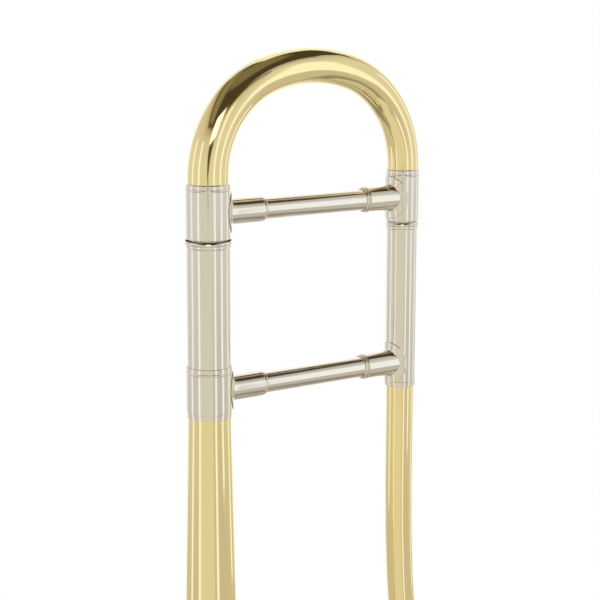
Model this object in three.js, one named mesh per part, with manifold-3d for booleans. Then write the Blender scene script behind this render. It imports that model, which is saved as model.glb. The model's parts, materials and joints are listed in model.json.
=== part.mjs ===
// Valve trombone in B flat, bell down and tuning slide up, in millimetres with +Z up.
// The bell's axis is the Z axis, the bell's rim lies in the plane z = 0, and the neck side is at +X.
import * as THREE from 'three';
import { mergeVertices } from 'three/addons/utils/BufferGeometryUtils.js';
import Module from 'manifold-3d';

const wasm = await Module();
wasm.setup();

// Gaps between pieces
const solderGap = 0.1;
const slideGap = 0.15;
const runningGap = 0.3;
const saddleGap = 0.3;
const cutOverrun = 1;
const weldDistance = 0.0001;

// Bell section
const legSpacing = 112;
const stemRise = 282;
const spigotLength = 12;
const spigotRelief = 0.15;
const bellRimRadius = 102;
const bellBoreBase = 8.05;
const bellTaperShare = 0.0187;
const flareOffset = 25;
const flarePowerShare = 1.3;
const bellWall = 0.5;
const rimBeadRadius = 1.6;
const rimLand = 1.2;
const bellJointHeight = 240;
const bellJointLap = 14;
const bellJointSlope = 3;

// Slide tubes on both legs
const tubeWall = 0.45;
const innerTubeRadiusBell = 9.45;
const innerTubeRadiusNeck = 6.85;
const outerTubeLength = 81.5;
const innerTubeInsert = 65;
const slideSeat = 0.4;
const ringProud = 0.75;
const ringWidth = 2.6;
const ringFillet = 1.3;
const footBandWidth = 2.4;
const footBandProud = 0.25;

// Ferrules of the bell section and the tuning slide
const lowerFerruleRadius = 10.55;
const ferruleRadiusBell = 10.15;
const ferruleRadiusNeck = 8;
const lowerFerruleLength = 23.6;
const upperFerruleLength = 25;
const ferruleBeadInset = 2.6;
const ferruleBeadProud = 0.25;
const ferruleBeadWidth = 1;
const ferruleRound = 0.6;

// Tuning bow
const bowStraight = 2.5;
const bowShoulderRadius = 47;
const bowShoulderShare = 0.8;
const bowRadiusBell = 9.4;
const bowRadiusNeck = 7.6;
const bowTaperPowerShare = 1.2;

// Braces between the legs
const braceTubeRadius = 5;
const braceWall = 0.8;
const socketRadius = 6.1;
const socketBeadRadius = 5.75;
const socketBeadWidth = 2.2;
const socketReachBell = 29.3;
const socketReachNeck = 25.4;
const braceInsert = 9;
const flangeRadius = 10.3;
const flangeThickness = 0.7;
const upperBraceDrop = 0.9;

// Neck pipe, return pipe and leadpipe
const pipeRadius = 6.85;
const neckOffset = 18;
const neckStraight = 50;
const neckUpperBendRadius = 750;
const neckLowerBendRadius = 150;
const knuckleRadius = 7.9;
const knuckleLength = 16;
const buttGap = 0.6;

// Valves
const valveHeightFirst = 262;
const valvePitch = 32;
const casingRadius = 11.3;
const casingBore = 9.8;
const casingFront = 50;
const casingBack = 48;
const pistonFront = 46;
const pistonLength = 70;
const pistonStroke = 16;
const portRadius = 6.2;
const pocketDepth = 2.6;
const capRadius = 13;
const capWall = 2.5;
const capDome = 6;
const capOverlap = 8;
const capChamfer = 1.2;
const ventRadius = 2.5;
const stemRadius = 3;
const collarRadius = 7;
const collarLength = 9;
const buttonRadius = 9.5;
const buttonThickness = 5;
const buttonRise = 18;
const buttonDish = 0.5;
const buttonRound = 1.5;
const springRadius = 6.5;
const springWire = 0.6;
const springTurns = 5;

// Valve slides
const slideLegSpacing = 34;
const slideElbowRadius = 15;
const slideOuterRadius = 7.3;
const slideOuterWall = 0.5;
const crookWall = 0.5;
const crookRadius = 7;
const crookFerruleRadius = 7.9;
const crookFerruleLength = 8;
const firstOuterLeg = 60;
const firstInsert = 50;
const firstLeg = 102;
const secondOuterLeg = 38;
const secondInsert = 30;
const secondLeg = 52;
const thirdOuterLeg = 100;
const thirdInsert = 70;
const thirdLeg = 191;
const tieRadius = 2.5;
const tieInset = 12;

// Front of the instrument
const leadSideX = 28;
const leadSideY = 49;
const frontBowHeight = -335;
const frontBowLeg = 40;
const frontFerruleLength = 20;
const receiverRise = 70;
const receiverLength = 36;
const receiverSeat = 20;
const receiverRadius = 9.2;
const receiverLipRadius = 10;
const receiverLipWidth = 3;
const stayRadius = 4;
const stayFlangeRadius = 7;
const bellBraceRise = 40;
const frontBraceDrop = 48;
const frontStayHeight = -200;

// Mouthpiece
const mouthpieceLength = 77;
const mouthpieceRadius = 19.5;
const shankTopRadius = 6.2;
const shankEndRadius = 5.5;

// Water key
const keyHeight = -316;
const keyPivotReach = 13;
const keyPadDrop = 16;
const keyPinRadius = 1;
const keyPinOverhang = 0.8;
const keyEarThickness = 1.6;
const keyEarHeight = 7;
const keyBaseThickness = 2.6;
const keyBarrelRadius = 2.4;
const keyLeverWidth = 5.6;
const keyTipRise = 26;
const keyTipReach = 18;
const keyLeverThickness = 1.6;
const keyPadRadius = 4.5;
const keyNippleRadius = 3.6;
const keyNippleBore = 1.5;
const keyNippleLength = 3.6;

// Fineness of round shapes
const legSides = 20;
const bellSides = 24;
const valveSides = 16;
const pipeSides = 12;
const smallSides = 8;
const bellSteps = 10;
const bowShoulderSteps = 6;
const bowTopSteps = 3;
const pipeBendSteps = 3;
const springTurnSteps = 8;
const springSides = 5;

// Places worked out from the driving dimensions
const mainLineX = legSpacing + neckOffset;
const leadPipeX = mainLineX + leadSideX;
const stemTop = valveHeightFirst + stemRise;
const receiverTop = valveHeightFirst + receiverRise;
const slideTop = stemTop + outerTubeLength;
const upperFerruleBase = slideTop + slideSeat;
const upperFerruleTop = upperFerruleBase + upperFerruleLength;
const lowerBraceHeight = stemTop + lowerFerruleLength / 2;
const upperBraceHeight = upperFerruleBase + upperFerruleLength / 2 - upperBraceDrop;
const outerTubeRadiusBell = innerTubeRadiusBell + slideGap + tubeWall;
const outerTubeRadiusNeck = innerTubeRadiusNeck + slideGap + tubeWall;
const valveHeights = [0, 1, 2].map((step) => valveHeightFirst - step * valvePitch);
const casingStart = mainLineX - casingFront;
const casingEnd = mainLineX + casingBack;
const pistonStart = mainLineX - pistonFront;
const pistonEnd = pistonStart + pistonLength;
const slideLegsX = [mainLineX - slideLegSpacing / 2, mainLineX + slideLegSpacing / 2];
const slideLegsY = -(casingRadius + slideElbowRadius);
const bellBraceHeight = valveHeights[0] + bellBraceRise;
const frontBraceHeight = valveHeights[2] - frontBraceDrop;

const X = new THREE.Vector3(1, 0, 0);
const Y = new THREE.Vector3(0, 1, 0);
const Z = new THREE.Vector3(0, 0, 1);
const down = Z.clone().negate();
const left = Y.clone().negate();
const vec = (x, y, z) => new THREE.Vector3(x, y, z);

const finishes = {
  brass: { color: 0xe0cd91, roughness: 0.16, metalness: 1 },
  nickelSilver: { color: 0xd6cfba, roughness: 0.18, metalness: 1 },
  silver: { color: 0xdcdcda, roughness: 0.12, metalness: 1 },
  steel: { color: 0xb8bcc2, roughness: 0.3, metalness: 1 },
};

const trombone = new THREE.Group();

function addPiece(name, geometry, finish, parent = trombone) {
  const mesh = new THREE.Mesh(geometry, new THREE.MeshStandardMaterial(finishes[finish]));
  mesh.name = name;
  parent.add(mesh);
  return mesh;
}

// Welds a geometry into one closed surface without flat triangles, facing out.
function closed(geometry) {
  geometry.deleteAttribute('normal');
  geometry.deleteAttribute('uv');
  const welded = mergeVertices(geometry, weldDistance);
  const place = welded.getAttribute('position');
  const corners = [];
  let volume = 0;
  const [a, b, c] = [vec(0, 0, 0), vec(0, 0, 0), vec(0, 0, 0)];
  for (let i = 0; i < welded.index.count; i += 3) {
    const [p, q, r] = [0, 1, 2].map((k) => welded.index.getX(i + k));
    if (p === q || q === r || r === p) continue;
    corners.push([p, q, r]);
    a.fromBufferAttribute(place, p);
    b.fromBufferAttribute(place, q);
    c.fromBufferAttribute(place, r);
    volume += a.dot(b.cross(c));
  }
  const facing = volume > 0 ? corners : corners.map(([p, q, r]) => [p, r, q]);
  welded.setIndex(facing.flat());
  welded.computeVertexNormals();
  return welded;
}

// Turns a profile of [radius, distance along the axis] points about an axis.
function revolve(profile, sides, axis = Z, foot = vec(0, 0, 0)) {
  const points = profile.map(([radius, along]) => new THREE.Vector2(radius, along));
  const first = points[0];
  const last = points[points.length - 1];
  if (first.x > 0 || last.x > 0) points.push(first.clone());
  const geometry = new THREE.LatheGeometry(points, sides);
  geometry.applyQuaternion(new THREE.Quaternion().setFromUnitVectors(Y, axis));
  geometry.translate(foot.x, foot.y, foot.z);
  return closed(geometry);
}

// A straight tube with its bore, between two distances along an axis.
function tube(outer, inner, from, to, sides, axis = Z, foot = vec(0, 0, 0)) {
  return revolve([[inner, from], [outer, from], [outer, to], [inner, to]], sides, axis, foot);
}

function rod(radius, from, to, sides, axis = Z, foot = vec(0, 0, 0)) {
  return revolve([[0, from], [radius, from], [radius, to], [0, to]], sides, axis, foot);
}

// Follows straight runs and bends in one plane, and gives the places along the way.
function route(start, heading, normal, moves) {
  const place = start.clone();
  const tangent = heading.clone();
  const stations = [{ place: place.clone(), tangent: tangent.clone(), along: 0 }];
  let along = 0;
  const note = () => stations.push({ place: place.clone(), tangent: tangent.clone(), along });
  for (const { run, radius, angle, steps } of moves) {
    if (run !== undefined) {
      place.addScaledVector(tangent, run);
      along += run;
      note();
      continue;
    }
    const turn = angle / steps;
    const chord = 2 * radius * Math.sin(Math.abs(turn) / 2);
    for (let step = 0; step < steps; step += 1) {
      place.addScaledVector(tangent.clone().applyAxisAngle(normal, turn / 2), chord);
      tangent.applyAxisAngle(normal, turn);
      along += radius * Math.abs(turn);
      note();
    }
  }
  return stations;
}

// A hollow tube along a route. radiusAt gives its outside and boreAt its bore at a distance along it;
// where the outside steps, radiusAt gives both of its radii there.
function sweep(stations, normal, sides, radiusAt, boreAt) {
  const total = stations[stations.length - 1].along;
  const outside = [];
  const inside = [];
  for (const { place, tangent, along } of stations) {
    const side = new THREE.Vector3().crossVectors(normal, tangent).normalize();
    for (const radius of [radiusAt(along, total)].flat()) outside.push({ place, side, radius });
    inside.unshift({ place, side, radius: boreAt(along, total) });
  }
  const loops = [...outside, ...inside];
  const positions = [];
  for (const { place, side, radius } of loops) {
    for (let k = 0; k < sides; k += 1) {
      const angle = (2 * Math.PI * k) / sides;
      const point = place.clone().addScaledVector(side, radius * Math.cos(angle));
      point.addScaledVector(normal, radius * Math.sin(angle));
      positions.push(point.x, point.y, point.z);
    }
  }
  const index = [];
  const loopCount = loops.length;
  for (let loop = 0; loop < loopCount; loop += 1) {
    const here = loop * sides;
    const next = ((loop + 1) % loopCount) * sides;
    for (let k = 0; k < sides; k += 1) {
      const after = (k + 1) % sides;
      index.push(here + k, here + after, next + after, here + k, next + after, next + k);
    }
  }
  const geometry = new THREE.BufferGeometry();
  geometry.setAttribute('position', new THREE.Float32BufferAttribute(positions, 3));
  geometry.setIndex(index);
  return closed(geometry);
}

function toSolid(geometry) {
  return new wasm.Manifold(new wasm.Mesh({
    numProp: 3,
    vertProperties: new Float32Array(geometry.getAttribute('position').array),
    triVerts: new Uint32Array(geometry.index.array),
  }));
}

function fromSolid(solid) {
  const mesh = solid.getMesh();
  const geometry = new THREE.BufferGeometry();
  geometry.setAttribute('position', new THREE.BufferAttribute(mesh.vertProperties, 3));
  geometry.setIndex(new THREE.BufferAttribute(mesh.triVerts, 1));
  return closed(geometry);
}

const joined = (geometries) => geometries.map(toSolid).reduce((all, next) => all.add(next));
const without = (solid, geometries) => geometries.map(toSolid).reduce((rest, cut) => rest.subtract(cut), solid);

// Bell

const flareAmount = bellRimRadius - bellBoreBase - bellTaperShare * stemTop;
const bellBore = (z) => bellBoreBase + bellTaperShare * (stemTop - z)
  + flareAmount * (flareOffset / (z + flareOffset)) ** flarePowerShare;
const bellBoreSlope = (z) => -bellTaperShare
  - (flarePowerShare * flareAmount / flareOffset) * (flareOffset / (z + flareOffset)) ** (flarePowerShare + 1);

// The outside of the bell, a wall's thickness away from the bore and grown by a clearance.
function bellOutside(z, clearance = 0) {
  const slope = bellBoreSlope(z);
  const reach = (bellWall + clearance) / Math.hypot(1, slope);
  return [bellBore(z) + reach, z - slope * reach];
}

const bellHeights = Array.from({ length: bellSteps + 1 }, (_, step) => (
  flareOffset * ((1 + stemTop / flareOffset) ** (step / bellSteps) - 1)));
const bellStemRadius = bellOutside(stemTop)[0];

// The flare with its rolled rim. Its upper end is straight where the stem laps over it.
function buildBellFlare() {
  const bead = [-90, -45, 0, 45, 90, 135, 180].map((degrees) => {
    const angle = THREE.MathUtils.degToRad(degrees);
    return [bellRimRadius + rimBeadRadius * Math.cos(angle), rimBeadRadius * (1 + Math.sin(angle))];
  });
  const lapTop = bellJointHeight + bellJointLap;
  const heights = [...bellHeights.slice(1).filter((z) => z < bellJointHeight), bellJointHeight];
  const profile = [
    [bellRimRadius - rimLand, 0],
    ...bead,
    ...heights.map((z) => bellOutside(z)),
    [bellOutside(lapTop)[0], lapTop],
    [bellBore(lapTop), lapTop],
    ...[...heights].reverse().map((z) => [bellBore(z), z]),
  ];
  addPiece('bell_flare', revolve(profile, bellSides), 'brass');
}

// The tapered stem, whose foot laps over the flare and whose top ends in a spigot inside the slide tube.
function buildBellStem() {
  const lapTop = bellJointHeight + bellJointLap;
  const slopeTop = lapTop + bellJointSlope;
  const [flareFoot, flareFootHeight] = bellOutside(bellJointHeight);
  const flareTop = bellOutside(lapTop)[0];
  const heights = [slopeTop, ...bellHeights.filter((z) => z > slopeTop)];
  const profile = [
    [flareFoot + solderGap, flareFootHeight],
    [flareFoot + solderGap + bellWall, flareFootHeight],
    [flareTop + solderGap + bellWall, lapTop],
    ...heights.map((z) => bellOutside(z)),
    [bellStemRadius - spigotRelief, stemTop],
    [bellStemRadius - spigotRelief, stemTop + spigotLength],
    [bellStemRadius - bellWall, stemTop + spigotLength],
    ...[...heights].reverse().map((z) => [bellBore(z), z]),
    [bellBore(lapTop), lapTop + buttGap],
    [flareTop + solderGap, lapTop + buttGap],
    [flareTop + solderGap, lapTop],
  ];
  addPiece('bell_stem', revolve(profile, bellSides), 'brass');
}

// The bell grown by a clearance, for cutting saddles that sit on it.
function grownBell(clearance) {
  const heights = bellHeights.slice(1);
  const profile = heights.map((z) => bellOutside(z, clearance));
  return revolve([[0, profile[0][1]], ...profile, [0, stemTop]], bellSides);
}

// Slide tubes and ferrules

function ferruleProfile(radius, from, to, bores, beads) {
  const rounded = [[radius - ferruleRound, from], [radius, from + ferruleRound]];
  const beadPoints = beads.flatMap((z) => [
    [radius, z - ferruleBeadWidth / 2],
    [radius + ferruleBeadProud, z],
    [radius, z + ferruleBeadWidth / 2],
  ]);
  const top = [[radius, to - ferruleRound], [radius - ferruleRound, to]];
  return [...rounded, ...beadPoints, ...top, ...bores];
}

function buildOuterTube(name, legX, innerRadius) {
  const radius = innerRadius + slideGap + tubeWall;
  const bore = innerRadius + slideGap;
  const onBell = legX === 0;
  const foot = onBell ? stemTop + spigotLength + runningGap : stemTop;
  const band = onBell ? [[radius, foot]] : [
    [radius + footBandProud, foot],
    [radius + footBandProud, foot + footBandWidth],
    [radius, foot + footBandWidth],
  ];
  const ringBase = slideTop - ringWidth;
  const profile = [
    [bore, foot],
    ...band,
    [radius, ringBase - ringFillet],
    [radius + ringProud / 2, ringBase],
    [radius + ringProud, ringBase + ringWidth / 4],
    [radius + ringProud, slideTop - ringWidth / 4],
    [radius + ringProud / 2, slideTop],
    [bore, slideTop],
  ];
  addPiece(name, revolve(profile, legSides, Z, vec(legX, 0, 0)), 'nickelSilver');
}

function buildLowerFerrule() {
  const top = stemTop + lowerFerruleLength;
  const bore = outerTubeRadiusBell + solderGap;
  const band = stemTop + footBandWidth;
  const profile = [
    [bore, stemTop],
    [lowerFerruleRadius - footBandProud, stemTop],
    [lowerFerruleRadius - footBandProud, band],
    ...ferruleProfile(lowerFerruleRadius, band, top, [[bore, top]], [top - ferruleBeadInset]).slice(1),
  ];
  addPiece('lower_ferrule_bell', revolve(profile, legSides), 'nickelSilver');
}

function buildUpperFerrule(name, legX, radius, bowEnd, innerRadius) {
  const middle = upperFerruleBase + upperFerruleLength / 2;
  const bores = [
    [bowEnd + solderGap, upperFerruleTop],
    [bowEnd + solderGap, middle],
    [innerRadius + solderGap, middle],
    [innerRadius + solderGap, upperFerruleBase],
  ];
  const beads = [upperFerruleTop - ferruleBeadInset];
  const profile = ferruleProfile(radius, upperFerruleBase, upperFerruleTop, bores, beads);
  addPiece(name, revolve(profile, legSides, Z, vec(legX, 0, 0)), 'nickelSilver');
}

function buildInnerTube(name, legX, radius) {
  const top = upperFerruleBase + upperFerruleLength / 2 - buttGap / 2;
  const foot = vec(legX, 0, 0);
  const geometry = tube(radius, radius - tubeWall, slideTop - innerTubeInsert, top, legSides, Z, foot);
  addPiece(name, geometry, 'nickelSilver');
}

// The bow is an arch of three arcs: a shoulder over each leg and a flatter one between them.
function buildTuningBow() {
  const socket = upperFerruleLength / 2 - buttGap / 2;
  const shoulder = bowShoulderShare * Math.PI / 2;
  const topRadius = bowShoulderRadius + (legSpacing / 2 - bowShoulderRadius) / Math.cos(shoulder);
  const moves = [
    { run: socket },
    { run: bowStraight },
    { radius: bowShoulderRadius, angle: shoulder, steps: bowShoulderSteps },
    { radius: topRadius, angle: Math.PI - 2 * shoulder, steps: bowTopSteps },
    { radius: bowShoulderRadius, angle: shoulder, steps: bowShoulderSteps },
    { run: bowStraight },
    { run: socket },
  ];
  const radiusAt = (along, total) => {
    const share = THREE.MathUtils.clamp((along - socket) / (total - 2 * socket), 0, 1);
    return bowRadiusNeck + (bowRadiusBell - bowRadiusNeck) * (1 - share) ** bowTaperPowerShare;
  };
  const stations = route(vec(0, 0, upperFerruleTop - socket), Z, Y, moves);
  const boreAt = (along, total) => radiusAt(along, total) - tubeWall;
  addPiece('tuning_bow', sweep(stations, Y, legSides, radiusAt, boreAt), 'brass');
}

// Braces

// A round flange bent round a carrier, so that it looks narrower from the front than it is tall.
// grow(clearance) gives the carrier's surface grown by that clearance.
function flange(foot, direction, radius, carrierRadius, grow) {
  const surface = carrierRadius + saddleGap + flangeThickness;
  const disc = rod(radius, 0, surface + flangeThickness, pipeSides);
  disc.scale(surface * Math.sin(radius / surface) / radius, 1, 1);
  const side = new THREE.Vector3().crossVectors(Z, direction);
  disc.applyMatrix4(new THREE.Matrix4().makeBasis(side, Z, direction).setPosition(foot));
  return toSolid(closed(disc)).intersect(toSolid(grow(saddleGap + flangeThickness)));
}

function buildSocket(name, legX, legRadius, direction, reach, height) {
  const foot = vec(legX, 0, height);
  const grow = (clearance) => rod(legRadius + clearance, height - 2 * flangeRadius, height + 2 * flangeRadius,
    legSides, Z, vec(legX, 0, 0));
  const bore = braceTubeRadius + solderGap;
  const sleeve = revolve([
    [0, 0],
    [socketRadius, 0],
    [socketRadius, reach - socketBeadWidth - ferruleRound],
    [socketRadius - ferruleRound, reach - socketBeadWidth],
    [socketBeadRadius, reach - socketBeadWidth / 2],
    [socketRadius - ferruleRound, reach],
    [bore, reach],
    [bore, reach - braceInsert - buttGap],
    [0, reach - braceInsert - buttGap],
  ], legSides, direction, foot);
  const wrap = flange(foot, direction, flangeRadius, legRadius, grow);
  const solid = without(toSolid(sleeve).add(wrap), [grow(saddleGap)]);
  addPiece(name, fromSolid(solid), 'nickelSilver');
}

function buildBrace(prefix, height, surfaceBell, surfaceNeck) {
  buildSocket(`${prefix}_socket_bell`, 0, surfaceBell, X, socketReachBell, height);
  buildSocket(`${prefix}_socket_neck`, legSpacing, surfaceNeck, X.clone().negate(), socketReachNeck, height);
  const from = socketReachBell - braceInsert;
  const to = legSpacing - socketReachNeck + braceInsert;
  const geometry = tube(braceTubeRadius, braceTubeRadius - braceWall, from, to, legSides, X, vec(0, 0, height));
  addPiece(`${prefix}_tube`, geometry, 'nickelSilver');
}

// A bar with a wrapped flange at each end, cut clear of what it joins.
function buildStay(name, from, to, growFrom, growTo, reachFrom, reachTo) {
  const direction = to.clone().sub(from);
  const length = direction.length();
  direction.normalize();
  const bar = toSolid(rod(stayRadius, 0, length, smallSides, direction, from));
  const near = flange(from, direction, stayFlangeRadius, reachFrom, growFrom);
  const far = flange(to, direction.clone().negate(), stayFlangeRadius, reachTo, growTo);
  const solid = without(bar.add(near).add(far), [growFrom(saddleGap), growTo(saddleGap)]);
  addPiece(name, fromSolid(solid), 'nickelSilver');
}

const grownPipe = (x, y, height) => (clearance) => rod(pipeRadius + clearance,
  height - 2 * stayFlangeRadius, height + 2 * stayFlangeRadius, pipeSides, Z, vec(x, y, 0));

const grownCasing = (height) => (clearance) => rod(casingRadius + clearance, casingStart, casingEnd,
  valveSides, X, vec(0, 0, height));

function buildStays() {
  for (const [name, height] of [['bell_brace', bellBraceHeight], ['front_brace', frontBraceHeight]]) {
    buildStay(name, vec(0, 0, height), vec(mainLineX, 0, height), grownBell, grownPipe(mainLineX, 0, height),
      bellOutside(height)[0], pipeRadius);
  }
  const stays = [['leadpipe_stay_upper', valveHeights[0]], ['leadpipe_stay_lower', valveHeights[2]]];
  for (const [name, height] of stays) {
    buildStay(name, vec(leadPipeX, 0, height), vec(leadPipeX, leadSideY, height), grownCasing(height),
      grownPipe(leadPipeX, leadSideY, height), casingRadius, pipeRadius);
  }
  buildStay('front_stay', vec(mainLineX, 0, frontStayHeight), vec(leadPipeX, leadSideY, frontStayHeight),
    grownPipe(mainLineX, 0, frontStayHeight), grownPipe(leadPipeX, leadSideY, frontStayHeight),
    pipeRadius, pipeRadius);
}

// Pipes

function buildNeckPipe() {
  const radiusSum = neckUpperBendRadius + neckLowerBendRadius;
  const bendAngle = Math.acos(1 - neckOffset / radiusSum);
  const bottom = valveHeights[0] + casingRadius + buttGap;
  const straightEnd = stemTop - neckStraight - radiusSum * Math.sin(bendAngle);
  const stations = route(vec(legSpacing, 0, stemTop + spigotLength), down, Y, [
    { run: spigotLength + neckStraight },
    { radius: neckUpperBendRadius, angle: -bendAngle, steps: pipeBendSteps },
    { radius: neckLowerBendRadius, angle: bendAngle, steps: pipeBendSteps },
    { run: straightEnd - bottom },
  ]);
  addPiece('neck_pipe', sweep(stations, Y, pipeSides, () => pipeRadius, () => pipeRadius - tubeWall), 'brass');
}

function buildKnuckles() {
  const bore = pipeRadius + solderGap;
  const foot = vec(mainLineX, 0, 0);
  const [first, , third] = valveHeights;
  const knuckles = [
    ['neck_knuckle', first, first + casingRadius + knuckleLength, bore, [first]],
    ['return_knuckle', third - casingRadius - knuckleLength, third, bore, [third]],
    ['knuckle_1_2', valveHeights[1], first, portRadius, [first, valveHeights[1]]],
    ['knuckle_2_3', third, valveHeights[1], portRadius, [valveHeights[1], third]],
  ];
  for (const [name, from, to, hole, casings] of knuckles) {
    const body = toSolid(tube(knuckleRadius, hole, from, to, pipeSides, Z, foot));
    const cuts = casings.map((height) => grownCasing(height)(saddleGap));
    addPiece(name, fromSolid(without(body, cuts)), 'nickelSilver');
  }
}

function buildFront() {
  const across = vec(leadSideX, leadSideY, 0);
  const spacing = across.length();
  across.normalize();
  const normal = new THREE.Vector3().crossVectors(down, across);
  const legTop = frontBowHeight + frontBowLeg;
  const bore = pipeRadius - tubeWall;
  const stations = route(vec(mainLineX, 0, legTop), down, normal, [
    { run: frontBowLeg },
    { radius: spacing / 2, angle: Math.PI, steps: 2 * pipeBendSteps },
    { run: frontBowLeg },
  ]);
  addPiece('front_bow', sweep(stations, normal, pipeSides, () => pipeRadius, () => bore), 'brass');
  const pipeFoot = legTop + buttGap;
  const returnTop = valveHeights[2] - casingRadius - buttGap;
  const lead = vec(leadPipeX, leadSideY, 0);
  const back = vec(mainLineX, 0, 0);
  addPiece('return_pipe', tube(pipeRadius, bore, pipeFoot, returnTop, pipeSides, Z, back), 'brass');
  addPiece('leadpipe', tube(pipeRadius, bore, pipeFoot, receiverTop - receiverSeat, pipeSides, Z, lead), 'brass');
  const ferrule = [legTop - frontFerruleLength / 2, legTop + frontFerruleLength / 2];
  for (const [name, foot] of [['front_ferrule_return', back], ['front_ferrule_lead', lead]]) {
    addPiece(name, tube(knuckleRadius, pipeRadius + solderGap, ...ferrule, pipeSides, Z, foot), 'nickelSilver');
  }
}

// Mouthpiece and its receiver

function buildReceiver() {
  const foot = receiverTop - receiverLength;
  const seat = receiverTop - receiverSeat + buttGap;
  const bore = pipeRadius + solderGap;
  const profile = [
    [bore, foot],
    [knuckleRadius, foot],
    [knuckleRadius, seat],
    [receiverRadius, seat + receiverLipWidth],
    [receiverRadius, receiverTop - receiverLipWidth],
    [receiverLipRadius, receiverTop - receiverLipWidth],
    [receiverLipRadius, receiverTop],
    [shankTopRadius + runningGap, receiverTop],
    [shankEndRadius + runningGap, seat],
    [bore, seat],
  ];
  const lead = vec(leadPipeX, leadSideY, 0);
  addPiece('mouthpiece_receiver', revolve(profile, pipeSides, Z, lead), 'nickelSilver');
}

// Outside from the shank to the rim, then the cup and the throat, as shares of radius and length.
const mouthpieceOutlineShares = [
  [0.33, 0.36], [0.37, 0.42], [0.45, 0.52], [0.47, 0.56], [0.5, 0.6], [0.66, 0.7], [0.84, 0.82],
  [0.92, 0.92], [1, 0.955], [0.98, 0.985], [0.86, 1], [0.72, 0.985], [0.66, 0.95], [0.62, 0.88],
  [0.45, 0.77], [0.2, 0.69], [0.165, 0.62], [0.235, 0],
];

function buildMouthpiece() {
  const foot = receiverTop - receiverSeat + 2 * buttGap;
  const insert = receiverTop - foot;
  const profile = [
    [shankEndRadius, foot],
    [shankTopRadius, foot + insert],
    ...mouthpieceOutlineShares.map(([radiusShare, heightShare]) => (
      [radiusShare * mouthpieceRadius, foot + heightShare * mouthpieceLength])),
  ];
  addPiece('mouthpiece', revolve(profile, valveSides, Z, vec(leadPipeX, leadSideY, 0)), 'silver');
}

// Valves, each built about the X axis and set at its own height

const portThrough = (x, from, to, axis, radius = portRadius) => (
  rod(radius, from, to, smallSides, axis, vec(x, 0, 0))
);

function casingSolid() {
  const shell = toSolid(tube(casingRadius, casingBore, casingStart, casingEnd, valveSides, X));
  const reach = casingRadius + cutOverrun;
  const cuts = [
    portThrough(mainLineX, -reach, reach, Z),
    ...slideLegsX.map((x) => portThrough(x, 0, reach, left)),
  ];
  return fromSolid(without(shell, cuts));
}

function pistonSolid() {
  const radius = casingBore - runningGap;
  const body = toSolid(rod(radius, pistonStart, pistonEnd, valveSides, X));
  const floor = radius - pocketDepth;
  const reach = radius + cutOverrun;
  const port = portRadius - runningGap;
  const pressedLine = mainLineX - pistonStroke;
  const cuts = [
    portThrough(mainLineX, -reach, reach, Z, port),
    portThrough(pressedLine, floor, reach, Z, port),
    portThrough(pressedLine, floor, reach, down, port),
    ...slideLegsX.map((x) => portThrough(x - pistonStroke, floor, reach, left, port)),
  ];
  return fromSolid(without(body, cuts));
}

function topCapProfile() {
  const top = casingStart - capDome - capWall;
  const bottom = casingStart + capOverlap;
  const hole = stemRadius + runningGap;
  const skirt = casingRadius + runningGap;
  return [
    [hole, top],
    [capRadius - capChamfer - capWall, top],
    [capRadius, top + capWall],
    [capRadius, bottom - capChamfer],
    [capRadius - capChamfer / 2, bottom],
    [skirt, bottom],
    [skirt, top + capWall],
    [hole, top + capWall],
  ];
}

function bottomCapProfile() {
  const skirt = casingRadius + runningGap;
  const inside = casingEnd + runningGap;
  const face = inside + capWall;
  return [
    [ventRadius, face],
    [capRadius - capChamfer, face],
    [capRadius, face - capChamfer],
    [capRadius, casingEnd - capOverlap],
    [skirt, casingEnd - capOverlap],
    [skirt, inside],
    [ventRadius, inside],
  ];
}

function buttonProfile() {
  const stemEnd = pistonStart - runningGap;
  const underside = casingStart - capDome - capWall - buttonRise;
  const face = underside - buttonThickness;
  return [
    [0, face + buttonDish],
    [buttonRadius - 2 * buttonRound, face + buttonDish],
    [buttonRadius - buttonRound, face],
    [buttonRadius, face + buttonRound],
    [buttonRadius, underside - buttonRound],
    [buttonRadius - buttonRound, underside],
    [stemRadius, underside],
    [stemRadius, stemEnd - collarLength],
    [collarRadius, stemEnd - collarLength],
    [collarRadius, stemEnd],
    [0, stemEnd],
  ];
}

// A coil of round wire about the X axis, with closed ends.
function springGeometry() {
  const from = pistonEnd + runningGap + springWire;
  const to = casingEnd - springWire;
  const steps = springTurnSteps * springTurns;
  const sides = springSides;
  const pitch = (to - from) / springTurns;
  const positions = [];
  for (let step = 0; step <= steps; step += 1) {
    const angle = (2 * Math.PI * step) / springTurnSteps;
    const outwards = vec(0, Math.cos(angle), Math.sin(angle));
    const along = vec(pitch / (2 * Math.PI), -springRadius * Math.sin(angle), springRadius * Math.cos(angle));
    const across = new THREE.Vector3().crossVectors(along.normalize(), outwards);
    const centre = vec(from + (pitch * step) / springTurnSteps, 0, 0).addScaledVector(outwards, springRadius);
    for (let k = 0; k < sides; k += 1) {
      const turn = (2 * Math.PI * k) / sides;
      const point = centre.clone().addScaledVector(outwards, springWire * Math.cos(turn));
      point.addScaledVector(across, springWire * Math.sin(turn));
      positions.push(point.x, point.y, point.z);
    }
  }
  const index = [];
  for (let step = 0; step < steps; step += 1) {
    for (let k = 0; k < sides; k += 1) {
      const [here, next] = [step * sides, (step + 1) * sides];
      const after = (k + 1) % sides;
      index.push(here + k, here + after, next + after, here + k, next + after, next + k);
    }
  }
  for (let k = 1; k + 1 < sides; k += 1) {
    index.push(0, k + 1, k, steps * sides, steps * sides + k, steps * sides + k + 1);
  }
  const geometry = new THREE.BufferGeometry();
  geometry.setAttribute('position', new THREE.Float32BufferAttribute(positions, 3));
  geometry.setIndex(index);
  console.log(`piston spring: least gap to itself ${(pitch - 2 * springWire).toFixed(2)} mm`);
  return closed(geometry);
}

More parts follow.
